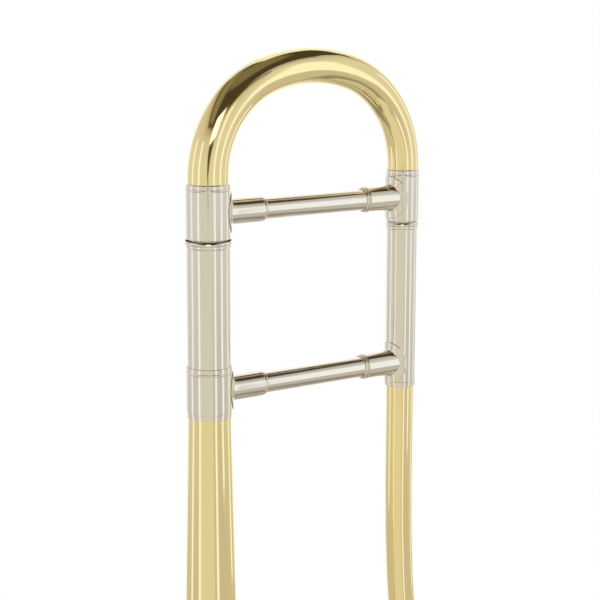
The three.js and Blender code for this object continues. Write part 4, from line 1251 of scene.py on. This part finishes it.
class TROMBONE_OT_valve_slides(TromboneStep):
    """Builds the outer tubes and crooks of the valve slides"""
    bl_idname = "trombone.valve_slides"
    bl_label = "Valve slides"

    def build(self):
        for name, number, way in VALVE_SLIDES:
            self.build_tubes(name, number, way)
            self.build_crook(name, way)

    def build_tubes(self, name, number, way):
        """Both legs from the casing to the ring at their mouth, and the rod that ties them."""
        valves, tubes = settings("valves"), settings("tubes")
        radius = lying_radius_of(f"valve_casing_{number}")
        height = span(f"valve_casing_{number}")[2].z
        low, high, middle = span(f"{name}_slide_outer_tubes")
        mouth = low.y if way.y else (high.z if way.z > 0 else low.z)
        outer, bore = valves.slide_radius, valves.slide_radius - valves.slide_wall
        ring, width = tubes.ring_proud, valves.slide_ring_width
        seat_radius = radius + tubes.edge / 4

        def seat(point):
            return Vector((point.x, -math.sqrt(seat_radius ** 2 - (point.z - height) ** 2), point.z))

        def with_ring(along, total):
            left = total - along
            rise = min(max((width - left) / (width / 6), 0), 1)
            return outer + ring * rise * (2 - rise)

        shells = []
        for x in (middle.x - valves.slide_spacing / 2, middle.x + valves.slide_spacing / 2):
            if way.y:
                moves = [(-radius - mouth, 0)]
            else:
                leg = abs(mouth - height) - valves.slide_elbow
                moves = [(valves.slide_elbow, -way.z * math.pi / 2), (leg, 0)]
            stations = route(Vector((x, -radius, height)), -Y, X, moves)
            shells.append(sweep(stations, X, with_ring, steady(bore), VALVE_SIDES, seat))
        y = -radius - valves.slide_elbow if way.z else mouth + valves.tie_inset
        z = height if way.y else mouth - way.z * valves.tie_inset
        carrier = Carrier(outer + tubes.edge / 4, upright=bool(way.z))
        near = [carrier.straight(valves.tie_radius * part / 2, 0) for part in range(3)]
        rows = [*near, *(turned_over(row, valves.slide_spacing) for row in reversed(near))]
        start = Vector((middle.x - valves.slide_spacing / 2, y, z))
        shells.append(strut(start, X, rows, sides=SMALL_SIDES))
        stand_in(f"{name}_slide_outer_tubes", shells, "nickel")

    def build_crook(self, name, way):
        """The U of a slide, with its inner tubes and its ferrules."""
        valves, tubes = settings("valves"), settings("tubes")
        low, high, middle = span(f"{name}_slide_crook")
        outer_low, outer_high, _ = span(f"{name}_slide_outer_tubes")
        if way.y:
            start, end, mouth = -high.y, -low.y, -outer_low.y
        elif way.z > 0:
            start, end, mouth = low.z, high.z, outer_high.z
        else:
            start, end, mouth = -high.z, -low.z, -outer_low.z
        spacing = valves.slide_spacing
        leg = end - start - spacing / 2 - valves.crook_radius
        inner = valves.slide_radius - valves.slide_wall - valves.slide_gap
        ferrule = (high.x - low.x - spacing) / 2
        ferrule_start = mouth + valves.slide_gap - start
        ferrule_end = ferrule_start + valves.crook_ferrule_length
        slope = tubes.bead_proud

        def outer(along, total):
            from_end = min(along, total - along)
            up = min(max((from_end - ferrule_start) / slope, 0), 1)
            fall = min(max((from_end - ferrule_end) / slope, 0), 1)
            return inner + (ferrule - inner) * up - (ferrule - valves.crook_radius) * fall

        normal = way.cross(X)
        flat = Vector((middle.x - spacing / 2, middle.y, middle.z))
        place = flat + way * (start - flat.dot(way))
        ends = [ferrule_start, slope, valves.crook_ferrule_length - slope, slope]
        runs = [(part, 0) for part in (*ends, leg - sum(ends))]
        stations = route(place, way, normal, [*runs, (spacing / 2, math.pi), *reversed(runs)])
        bore = steady(inner - valves.slide_wall)
        stand_in(f"{name}_slide_crook", [sweep(stations, normal, outer, bore, VALVE_SIDES)], "brass")


# Outline of the mouthpiece from its shank to the rim, then its cup and throat, as shares of radius and length
MOUTHPIECE_SHARES = (
    (0.318, 0.26), (0.33, 0.36), (0.345, 0.40), (0.385, 0.44), (0.445, 0.50), (0.465, 0.53), (0.455, 0.555),
    (0.465, 0.58), (0.53, 0.625), (0.66, 0.70), (0.79, 0.78), (0.86, 0.84), (0.895, 0.89), (0.94, 0.925),
    (0.985, 0.945), (1.0, 0.962), (0.985, 0.98), (0.93, 0.994), (0.86, 1.0), (0.78, 0.996), (0.715, 0.98),
    (0.675, 0.955), (0.645, 0.92), (0.58, 0.85), (0.45, 0.77), (0.29, 0.715), (0.20, 0.68), (0.165, 0.62),
    (0.18, 0.40), (0.235, 0.0),
)
# Radius of the mouthpiece's shank at its end and at the receiver's lip, as shares of the rim's radius
SHANK_END_SHARE = 5.5 / 19.5
SHANK_TOP_SHARE = 6.2 / 19.5


class TROMBONE_OT_mouthpiece(TromboneStep):
    """Builds the mouthpiece and its receiver"""
    bl_idname = "trombone.mouthpiece"
    bl_label = "Mouthpiece and receiver"

    def build(self):
        tubes = settings("tubes")
        low, high, _ = span("mouthpiece")
        foot = foot_of("mouthpiece")
        radius, length = radius_of("mouthpiece"), high.z - low.z
        receiver_low, receiver_high, _ = span("mouthpiece_receiver")
        shank_end, shank_top = radius * SHANK_END_SHARE, radius * SHANK_TOP_SHARE
        points = [(ring * radius, low.z + part * length) for ring, part in MOUTHPIECE_SHARES]
        profile = [(shank_end, low.z), *curve_through(points, 5)]
        stand_in("mouthpiece", [lathe(profile, foot=foot)], "silver")

        inner = radius_of("leadpipe") + tubes.edge / 2
        lip, base, top = radius_of("mouthpiece_receiver"), receiver_low.z, receiver_high.z
        body, width, proud = lip - 2 * tubes.wall, tubes.receiver_band, tubes.bead_proud
        seat = low.z - 2 * tubes.wall
        sleeve = radius_of("neck_knuckle")
        gap = tubes.receiver_gap
        profile = [
            (inner, base), (sleeve, base), (sleeve, seat - width / 2), (sleeve + proud, seat),
            (sleeve + proud, seat + width / 4), (sleeve, seat + width / 2), (body, seat + 1.5 * width),
            (body, top - 2.4 * width), (body + proud, top - 2.1 * width), (body, top - 1.8 * width),
            (body, top - width), (lip, top - 0.8 * width), (lip, top - 0.2 * width), (lip - proud, top),
            (shank_top + gap, top), (shank_end + gap, low.z), (inner, low.z - tubes.edge),
        ]
        stand_in("mouthpiece_receiver", [lathe(profile, foot=foot)], "nickel")


# Stations of the water key's lever from its cork to its touch: 0 to rise from the hinge pin's level or 1 to
# rise from the touch's, the rise in metres, the place along as a share of the way to the nipple, below 0, or
# to the touch, a shift along in metres, and the width as a share of the full width
LEVER_STATIONS = (
    (0, -0.0002, -1.0, -0.001, 0.45), (0, 0.0006, -0.6, 0, 0.42), (0, 0.0010, -0.25, 0, 0.55),
    (0, 0.0018, 0, 0, 0.62), (0, 0.0016, 0.22, 0, 0.50), (0, 0.0022, 0.5, 0, 0.62),
    (1, -0.0018, 0.78, 0, 1.0), (1, -0.0004, 1.0, -0.0004, 0.62),
)
LEVER_STEPS = 8
# The lever's two end rings are drawn in to this share of their width
LEVER_END_SHARE = 0.55
# Powers that square the lever's section across and through it
LEVER_POWERS = (0.45, 0.6)
# Where an ear of the saddle has its shoulder: as shares of the way down from the pin and of half its length
SHOULDER_DROP_SHARE = 0.14
SHOULDER_LENGTH_SHARE = 0.8
# Radius of the knobs of the hinge pin at their end and at their side, in pin radii
KNOB_END_SHARE = 1.5
KNOB_SIDE_SHARE = 1.7
# The lever's pad is looked for up to this height over the nipple's middle
PAD_SEARCH = 0.001


class TROMBONE_OT_water_key(TromboneStep):
    """Builds the water key with its saddle, nipple, lever and cork"""
    bl_idname = "trombone.water_key"
    bl_label = "Water key"

    def build(self):
        lead, back = span("leadpipe")[2], span("return_pipe")[2]
        turn = math.atan2(lead.y - back.y, lead.x - back.x)
        height = span("water_key_saddle")[2].z
        self.seat = Matrix.Translation((lead.x, lead.y, height)) @ Matrix.Rotation(turn, 4, "Z")
        saddle, nipple, lever = (self.points_of(f"water_key_{part}")
                                 for part in ("saddle", "nipple", "lever"))
        pipe = radius_of("leadpipe")
        self.build_saddle(pipe, saddle, lever)
        self.build_nipple(pipe, nipple)
        self.build_lever(lever, nipple)

    def points_of(self, node):
        """The points of a node as seen from the seat, with X away from the pipe and Z along it."""
        inside = self.seat.inverted()
        return [inside @ vertex.co for vertex in frame["nodes"][node].data.vertices]

    def seated(self, shell):
        """A shell made at the seat, set in its place."""
        return moved(shell, self.seat)

    @staticmethod
    def pivot():
        """Distance of the hinge pin from the pipe's axis."""
        joint = next(joint for joint in frame["joints"] if joint["name"] == "water_key_press")
        lead = span("leadpipe")[2]
        return math.hypot(joint["pos_m"][0] - lead.x, joint["pos_m"][1] - lead.y)

    def build_saddle(self, pipe, saddle, lever):
        """The plate on the pipe, its two ears and the hinge pin."""
        key, edge = settings("key"), settings("tubes").edge
        reach, pin_reach = max(point.x for point in saddle), max(point.y for point in saddle)
        half = (max(point.z for point in saddle) - min(point.z for point in saddle)) / 2
        pivot, pin = self.pivot(), key.pin_radius
        ear_in = max(point.y for point in lever) + key.running_gap
        ear_out = ear_in + key.ear_thickness
        gap, thick, chamfer = key.seat_gap, key.plate_thickness, key.plate_edge
        rows = [Carrier(pipe).wrapped(part * (ear_out + key.plate_margin), lift) for part, lift in (
            (0, gap), (0.5, gap), (0.97, gap), (1.0, chamfer), (1.0, thick - chamfer), (0.96, thick),
            (0.5, thick), (0, thick))]
        shells = [self.seated(strut(Vector(), X, rows))]

        base, lobe = pipe + thick, reach - pivot
        shoulder = pivot + (base - pivot) * SHOULDER_DROP_SHARE
        shoulder_half = SHOULDER_LENGTH_SHARE * half
        arc = [(pivot + lobe * math.cos(turn), lobe * math.sin(turn))
               for turn in (math.radians(angle) for angle in range(-80, 81, 10))]
        outline = [(base - key.ear_sink, -half), (shoulder, -shoulder_half), *arc,
                   (shoulder, shoulder_half), (base - key.ear_sink, half)]
        for start, end in ((-ear_out, -ear_in), (ear_in, ear_out)):
            shells.append(self.seated(plate(outline, start, end, edge)))

        foot = Vector((pivot, 0, 0))
        profile = [(0, -pin_reach), (pin, -pin_reach), (pin, pin_reach), (0, pin_reach)]
        shells.append(self.seated(solid(profile, Y, foot, PIN_SIDES)))
        for side in (-1, 1):
            knob = [(ring * pin, side * depth) for ring, depth in (
                (0, pin_reach), (KNOB_END_SHARE, pin_reach), (KNOB_SIDE_SHARE, pin_reach - key.knob_chamfer),
                (KNOB_SIDE_SHARE, ear_out + gap), (0, ear_out + gap))]
            shells.append(self.seated(solid(knob, Y, foot, PIN_SIDES, edge / 2)))
        stand_in("water_key_saddle", shells, "nickel")

    def build_nipple(self, pipe, nipple):
        """The nipple that the cork closes."""
        top, outer = max(point.x for point in nipple), max(point.y for point in nipple)
        height = sum(point.z for point in nipple) / len(nipple)
        edge = settings("tubes").edge
        rows = [Carrier(pipe).straight(outer * part, lift) for part, lift in
                ((0, edge / 2), (0.6, edge / 2), (1.12, edge / 2), (1.12, 3 * edge), (1.0, 5 * edge))]
        bore, floor = 0.42 * outer, pipe + 4 * edge
        rows += [level(ring, depth) for ring, depth in softened([
            (outer, pipe + 8 * edge), (outer, top), (bore, top), (bore, floor), (0, floor)],
            edge, closed=False)]
        shell = strut(Vector((0, 0, height)), X, rows, sides=SMALL_SIDES)
        stand_in("water_key_nipple", [self.seated(shell)], "nickel")

    def build_lever(self, lever, nipple):
        """The lever with its barrel and pad cup, and the cork in the cup."""
        key = settings("key")
        width = max(point.y for point in lever)
        tip = max(lever, key=lambda point: point.z)
        pivot = self.pivot()
        height = sum(point.z for point in nipple) / len(nipple)
        start = max(point.x for point in nipple) + key.running_gap
        path, widths = [], []
        for from_touch, rise, share_along, shift, share_wide in LEVER_STATIONS:
            end = tip.z if share_along > 0 else height
            path.append((pivot + (tip.x - pivot) * from_touch + rise, end * abs(share_along) + shift))
            widths.append((share_wide * width, 0))
        curve, widths = curve_through(path, LEVER_STEPS), curve_through(widths, LEVER_STEPS)
        loops = []
        for place, (point, wide) in enumerate(zip(curve, widths)):
            before, after = curve[max(place - 1, 0)], curve[min(place + 1, len(curve) - 1)]
            along = (after - before).normalized()
            out = Vector((along.y, -along.x))
            reach = wide.x * (LEVER_END_SHARE if place in (0, len(curve) - 1) else 1)
            loop = []
            for cosine, sine in turns(PIN_SIDES):
                across, through = (math.copysign(abs(value) ** power, value)
                                   for value, power in zip((cosine, sine), LEVER_POWERS))
                spot = point + out * (key.lever_thickness * through)
                loop.append(Vector((spot.x, reach * across, spot.y)))
            loops.append(loop)
        hole, barrel = key.pin_radius + key.running_gap, key.barrel_radius
        profile = [(hole, -width), (barrel, -width), (barrel, width), (hole, width)]
        shells = [self.seated((loops, False)),
                  self.seated(lathe(profile, Y, Vector((pivot, 0, 0)), SMALL_SIDES))]

        foot, cork = Vector((0, 0, height)), key.cork_thickness
        pad = max(abs(point.z - height) for point in lever if point.z < height + PAD_SEARCH)
        profile = [(0, start + 0.4 * cork), (0.86 * pad, start + 0.4 * cork), (0.9 * pad, start + 0.2 * cork),
                   (pad, start + 0.4 * cork), (pad, start + key.pad_height),
                   (0.55 * pad, pivot - key.pad_neck), (0, pivot - key.pad_crown)]
        shells.append(self.seated(solid(profile, X, foot, CORK_SIDES)))
        stand_in("water_key_lever", shells, "nickel")
        profile = [(0, start), (0.8 * pad, start), (0.8 * pad, start + 0.38 * cork), (0, start + 0.38 * cork)]
        shell = self.seated(solid(profile, X, foot, CORK_SIDES, cork / 6))
        add_piece("water_key_cork", [shell], "cork", body=body_of(frame["nodes"]["water_key_lever"])[0])


# The camera's sensor in millimetres, and the distances in metres between which it sees
SENSOR_WIDTH = 36
CLIP_RANGE = (0.01, 100)
# Where the floor starts to fade and where it is gone, as shares of its radius, and its two tones
FLOOR_FADE_SHARES = (0.35, 0.98)
PAPER_TONES = ((0.93, 0.93, 0.93), (0.96, 0.96, 0.96))
# Azimuth of each corner of the mirrored room in degrees from the camera, and its distance in room heights
ROOM_CORNER_SHARES = (
    (-150, 1.32), (-48, 1.26), (-20, 1.48), (22, 1.50), (61, 1.38), (82, 1.19), (100, 0.90), (127, 1.03),
    (143, 1.06),
)
# The same for the corners of the ceiling and the ground behind the part, where there is no wall
CEILING_BACK_SHARES = ((149, 1.0), (156, 0.86), (161, 0.62), (180, 0.37), (-152, 1.0))
GROUND_BACK_SHARES = ((160, 1.35), (-165, 1.4))
# The same for the corners of two pale boards, which lie just over the ground
BOARD_SHARES = (
    (-120, 0.40), (-85, 0.36), (-50, 0.28), (0, 0.34), (45, 0.70), (75, 0.74), (105, 0.68), (130, 0.66),
    (165, 0.48), (-150, 0.40),
)
APRON_SHARES = ((-42, 0.46), (-10, 0.40), (25, 0.40), (40, 0.60), (38, 1.2), (-42, 1.2))
BOARD_DEPTH_SHARE = 0.99
# Azimuths at which a wall without a dark cornice starts
BRIGHT_WALLS = (61, 82, 100)
# Tones of the walls from the ground at 0 to the ceiling at 1
WALL_STOPS = (
    (0.0, "wall_low"), (0.30, "wall_low"), (0.44, "wall_tone"), (0.58, "wall_tone"), (0.80, "wall_shade"),
    (0.92, "wall_high"), (0.94, "dark_wood"), (1.0, "dark_wood"),
)
BRIGHT_WALL_STOPS = ((0.30, "wall_low"), (0.44, "wall_tone"), (0.82, "wall_tone"), (1.0, "ceiling_pale"))
# Tones of the ceiling and the ground from their middle at 0 to their reach at 1, which is in room heights
CEILING_STOPS = (
    (0.0, "ceiling_tone"), (0.24, "ceiling_tone"), (0.33, "ceiling_dark"), (0.75, "ceiling_dark"),
    (1.0, "ceiling_edge"),
)
CEILING_REACH = 1.5
GROUND_STOPS = ((0.64, "ground_dark"), (0.76, "ground_middle"), (1.0, "ground_tone"))
GROUND_REACH = 1.25
# Where they turn to another tone: the azimuth, the distances in room heights between which it grows, the tone
CEILING_RISES = (
    (-98, 0.3, 0.5, "ceiling_light"), (82, 0.9, 1.12, "ceiling_pale"), (170, 0.82, 1.25, "white_tone"),
)
GROUND_RISES = ((170, 0.4, 1.25, "white_tone"),)
# Width of the soft sides of the panels, as a share of half their width
LAMP_SOFTNESS = 0.4
EASEL_SOFTNESS = 0.25
PANEL_SOFTNESS = 0.1
# Azimuth, half width, foot and head of each panel in degrees
LAMP_PLACES = (
    (-145, 12, -32, 26), (-89, 6.5, -24, 22), (-48, 6.5, -26, 24),
    (35, 6.5, -30, 26), (74, 7.5, -19, 23), (118, 7, -24, 26),
)
WINDOW_PLACE = (1.5, 13, 19, 38)
EASEL_PLACE = (1, 11, -6.4, 18)
EASEL_FOOT_SHARE = 0.1
CURTAIN_PLACE = (-17, 39, -68, -1)
WHITE_PLACE = (-158, 14, -34, 42)
BACK_PLACE = (181, 16, -30, 40)


class TROMBONE_OT_stage(TromboneStep):
    """Sets the pale floor, the studio cards, the light and the camera"""
    bl_idname = "trombone.stage"
    bl_label = "Stage"

    def build(self):
        self.set_camera()
        self.set_world()
        self.lay_floor()
        self.hang_cards()
        self.hang_light()
        bpy.context.scene.view_settings.view_transform = "Standard"

    def set_camera(self):
        """The camera of the photo."""
        studio = settings("studio")
        data = bpy.data.cameras.new("camera")
        data.lens = studio.lens
        data.sensor_width = SENSOR_WIDTH
        data.clip_start, data.clip_end = CLIP_RANGE
        camera = bpy.data.objects.new("camera", data)
        camera.location = studio.camera_place
        turn, pitch = studio.camera_turn, studio.camera_pitch
        level_reach = math.cos(pitch)
        forward = Vector((math.sin(turn) * level_reach, math.cos(turn) * level_reach, -math.sin(pitch)))
        aim = forward.to_track_quat("-Z", "Y") @ Quaternion(Z, studio.camera_roll)
        camera.rotation_euler = aim.to_euler()
        bpy.context.scene.collection.objects.link(camera)
        bpy.context.scene.camera = camera

    def set_world(self):
        """A white ground for the camera and an even light for all else."""
        studio = settings("studio")
        world = bpy.data.worlds.new("studio")
        bpy.context.scene.world = world
        sky = Finish(world)
        ray = [sky.node("ShaderNodeLightPath", output=kind)
               for kind in ("Is Camera Ray", "Is Glossy Ray", "Is Transmission Ray")]
        seen = (ray[0] + ray[1] + ray[2]) > 0.5
        values = {"Color": (*studio.sky_tone, 1), "Strength": studio.sky_power}
        light = sky.node("ShaderNodeBackground", {}, values)
        white = sky.node("ShaderNodeBackground", {}, {"Color": (1, 1, 1, 1), "Strength": 1.0})
        mixed = sky.node("ShaderNodeMixShader", {}, {0: seen, 1: light, 2: white})
        sky.node("ShaderNodeOutputWorld", {}, {"Surface": mixed})

    def lay_floor(self):
        """A pale round floor that fades out towards its rim."""
        studio = settings("studio")
        form = bmesh.new()
        bmesh.ops.create_circle(form, cap_ends=True, segments=128, radius=studio.floor_radius)
        mesh = bpy.data.meshes.new("floor")
        form.to_mesh(mesh)
        form.free()
        material, finish = new_finish("pale_floor")
        spot = finish.node("ShaderNodeTexCoord", output="Object")
        distance = finish.node("ShaderNodeVectorMath", {"operation": "LENGTH"}, {0: spot}, "Value")
        start, end = (part * studio.floor_radius for part in FLOOR_FADE_SHARES)
        fade = finish.node("ShaderNodeMapRange", {"interpolation_type": "SMOOTHSTEP"},
                           {"Value": distance, "From Min": start, "From Max": end})
        pale = finish.mix(finish.noise("paper"), *PAPER_TONES)
        paper = finish.node("ShaderNodeBsdfDiffuse", {}, {"Color": pale})
        clear = finish.node("ShaderNodeBsdfTransparent")
        mixed = finish.node("ShaderNodeMixShader", {}, {0: fade, 1: paper, 2: clear})
        finish.node("ShaderNodeOutputMaterial", {}, {"Surface": mixed})
        mesh.materials.append(material)
        floor = bpy.data.objects.new("floor", mesh)
        middle = (CAD_BOX[0] + CAD_BOX[1]) / 2
        floor.location = (middle.x, middle.y, CAD_BOX[0].z - studio.floor_gap)
        floor.visible_glossy = False
        bpy.context.scene.collection.objects.link(floor)

    def hang_cards(self):
        """The room that the metal mirrors: walls, ceiling, ground, boards, lamps, window and cards."""
        studio = settings("studio")
        high = studio.room_height
        corners = self.corners_of(ROOM_CORNER_SHARES)
        for number, (first, last) in enumerate(zip(corners, corners[1:])):
            stops = BRIGHT_WALL_STOPS if ROOM_CORNER_SHARES[number][0] in BRIGHT_WALLS else WALL_STOPS
            wall = [first - high * Z, last - high * Z, last + high * Z, first + high * Z]
            self.hang_card(f"wall_{number}", wall, self.wall_tones(stops), high)
        ceiling = [corner + high * Z for corner in corners + self.corners_of(CEILING_BACK_SHARES)]
        self.hang_card("ceiling", ceiling, self.ring_tones(CEILING_STOPS, CEILING_REACH, CEILING_RISES), high)
        ground = [corner - high * Z for corner in corners + self.corners_of(GROUND_BACK_SHARES)]
        self.hang_card("ground", ground, self.ring_tones(GROUND_STOPS, GROUND_REACH, GROUND_RISES), high)
        boards = (("board", BOARD_SHARES, studio.board_tone), ("apron", APRON_SHARES, studio.card_cream))
        for name, shares, tone in boards:
            corners = self.corners_of(shares, -BOARD_DEPTH_SHARE * high)
            self.hang_card(name, corners, lambda finish, spot, tone=tone: (tone, 1.0, 0.0), high)
        for number, place in enumerate(LAMP_PLACES):
            self.hang_panel(f"tall_lamp_{number}", place, studio.lamp_tone, studio.lamp_power, LAMP_SOFTNESS)
        self.hang_panel("back_sweep", BACK_PLACE, studio.white_tone, studio.back_power)
        self.hang_panel("white_card", WHITE_PLACE, studio.white_tone, 1.0)
        self.hang_panel("window", WINDOW_PLACE, studio.lamp_tone, studio.window_power)
        self.hang_panel("easel", EASEL_PLACE, studio.dark_wood, 1.0, EASEL_SOFTNESS, EASEL_FOOT_SHARE)
        self.hang_panel("curtain", CURTAIN_PLACE, studio.card_cream, 1.0)

    def hang_light(self):
        """The soft light from above."""
        studio = settings("studio")
        lamp = bpy.data.lights.new("soft_top", "AREA")
        lamp.size = studio.light_size
        lamp.energy = studio.light_power
        top = bpy.data.objects.new("soft_top", lamp)
        top.location = studio.light_place
        top.rotation_euler = Vector(studio.light_way).to_track_quat("-Z", "Y").to_euler()
        top.visible_glossy = False
        bpy.context.scene.collection.objects.link(top)

    def corners_of(self, shares, rise=0.0):
        """The corners of a card, from their azimuths and their distances in room heights."""
        high = settings("studio").room_height
        return [self.towards(azimuth, away * high, rise) for azimuth, away in shares]

    @staticmethod
    def towards(azimuth, away, rise=0.0):
        """A place seen from the slide's middle at an azimuth from the camera, positive to its right."""
        turn = math.radians(180 + azimuth) - settings("studio").camera_turn
        return Vector((-away * math.sin(turn), away * math.cos(turn), rise))

    def hang_panel(self, name, place, tone, power, softness=PANEL_SOFTNESS, foot_share=1.0):
        """A flat panel that faces the slide, with soft sides, narrowed at its foot by a share."""
        azimuth, half, foot, head = place
        away = settings("studio").panel_distance
        middle = self.towards(azimuth, away)
        across = self.towards(azimuth + 90, away * math.tan(math.radians(half)))
        low, high = (away * math.tan(math.radians(angle)) for angle in (foot, head))
        corners = [middle + side * across + rise * Z
                   for side, rise in ((-foot_share, low), (foot_share, low), (1, high), (-1, high))]

        def tones(finish, spot):
            along = finish.node("ShaderNodeVectorMath", {"operation": "DOT_PRODUCT"},
                                {0: spot, 1: across / across.length_squared}, "Value")
            edge = abs(along)
            fade = finish.node("ShaderNodeMapRange", {"interpolation_type": "SMOOTHSTEP"},
                               {"Value": edge, "From Min": 1 - softness, "From Max": 1})
            return tone, power, fade

        self.hang_card(name, corners, tones, 1)

    def hang_card(self, name, corners, tones, high):
        """One flat card that only the metal's reflections see."""
        mesh = bpy.data.meshes.new(name)
        mesh.from_pydata(corners, [], [range(len(corners))])
        card = bpy.data.objects.new(name, mesh)
        middle = span("upper_brace_tube")[2]
        card.location = (middle.x, middle.y, span("outer_slide_tube_bell")[1].z)
        for kind in ("camera", "diffuse", "transmission", "volume_scatter", "shadow"):
            setattr(card, f"visible_{kind}", False)
        material, finish = new_finish(name)
        spot = finish.node("ShaderNodeTexCoord", output="Object")
        unit = finish.node("ShaderNodeVectorMath", {"operation": "MULTIPLY"}, {0: spot, 1: (1 / high,) * 3})
        tone, power, fade = tones(finish, unit)
        values = {"Color": tone if isinstance(tone, Shade) else (*tone, 1), "Strength": power}
        glow = finish.node("ShaderNodeEmission", {}, values)
        clear = finish.node("ShaderNodeBsdfTransparent")
        mixed = finish.node("ShaderNodeMixShader", {}, {0: fade, 1: glow, 2: clear})
        finish.node("ShaderNodeOutputMaterial", {}, {"Surface": mixed})
        mesh.materials.append(material)
        bpy.context.scene.collection.objects.link(card)

    @staticmethod
    def ramp(finish, stops, factor):
        """A ramp through the studio's tones by their names."""
        studio = settings("studio")
        named = [(place, getattr(studio, tone)) for place, tone in stops]
        return finish.node("ShaderNodeValToRGB", {"stops": named}, {"Fac": factor})

    def wall_tones(self, stops):
        """A plastered wall that is shaded by its height."""
        def tones(finish, spot):
            height = finish.node("ShaderNodeSeparateXYZ", {}, {0: spot}, "Z")
            return self.ramp(finish, stops, height * 0.5 + 0.5), 1.0, 0.0
        return tones

    def ring_tones(self, stops, reach, rises):
        """A ceiling or ground that is shaded in rings and turns to other tones in some directions."""
        def tones(finish, spot):
            studio = settings("studio")
            flat = finish.node("ShaderNodeVectorMath", {"operation": "MULTIPLY"}, {0: spot, 1: (1, 1, 0)})
            away = finish.node("ShaderNodeVectorMath", {"operation": "LENGTH"}, {0: flat}, "Value")
            tone = self.ramp(finish, stops, away / reach)
            for azimuth, first, last, name in rises:
                along = finish.node("ShaderNodeVectorMath", {"operation": "DOT_PRODUCT"},
                                    {0: spot, 1: self.towards(azimuth, 1.0)}, "Value")
                rise = finish.node("ShaderNodeMapRange", {},
                                   {"Value": along, "From Min": first, "From Max": last})
                tone = finish.mix(rise, tone, getattr(studio, name))
            return tone, 1.0, 0.0
        return tones


class TROMBONE_PT_panel(bpy.types.Panel):
    """Sizes, colours and build steps of the valve trombone"""
    bl_label = "Valve trombone"
    bl_idname = "TROMBONE_PT_panel"
    bl_space_type = "VIEW_3D"
    bl_region_type = "UI"
    bl_category = "Trombone"

    def draw(self, context):
        for name, group in GROUPS.items():
            box = self.layout.box()
            box.label(text=name.title())
            for key in group.__annotations__:
                box.prop(settings(name), key)
        for step in STEPS:
            self.layout.operator(step.bl_idname)


GROUPS = {
    "tubes": TromboneTubes,
    "bell": TromboneBell,
    "braces": TromboneBraces,
    "valves": TromboneValves,
    "key": TromboneKey,
    "finishes": TromboneFinishes,
    "studio": TromboneStudio,
}
STEPS = (
    TROMBONE_OT_stage,
    TROMBONE_OT_finishes,
    TROMBONE_OT_bell,
    TROMBONE_OT_slide_tubes,
    TROMBONE_OT_tuning_bow,
    TROMBONE_OT_braces,
    TROMBONE_OT_pipes,
    TROMBONE_OT_stays,
    TROMBONE_OT_valves,
    TROMBONE_OT_valve_slides,
    TROMBONE_OT_mouthpiece,
    TROMBONE_OT_water_key,
)


def register():
    """Adds the classes and the property groups."""
    for item in (*GROUPS.values(), *STEPS, TROMBONE_PT_panel):
        bpy.utils.register_class(item)
    for name, group in GROUPS.items():
        setattr(bpy.types.Scene, f"trombone_{name}", bpy.props.PointerProperty(type=group))


def unregister():
    """Takes them away again."""
    for name in GROUPS:
        delattr(bpy.types.Scene, f"trombone_{name}")
    for item in reversed((*GROUPS.values(), *STEPS, TROMBONE_PT_panel)):
        bpy.utils.unregister_class(item)


def main():
    """Builds everything in order."""
    register()
    for step in STEPS:
        group, name = step.bl_idname.split(".")
        getattr(getattr(bpy.ops, group), name)()
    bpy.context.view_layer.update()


if __name__ == "__main__":
    main()
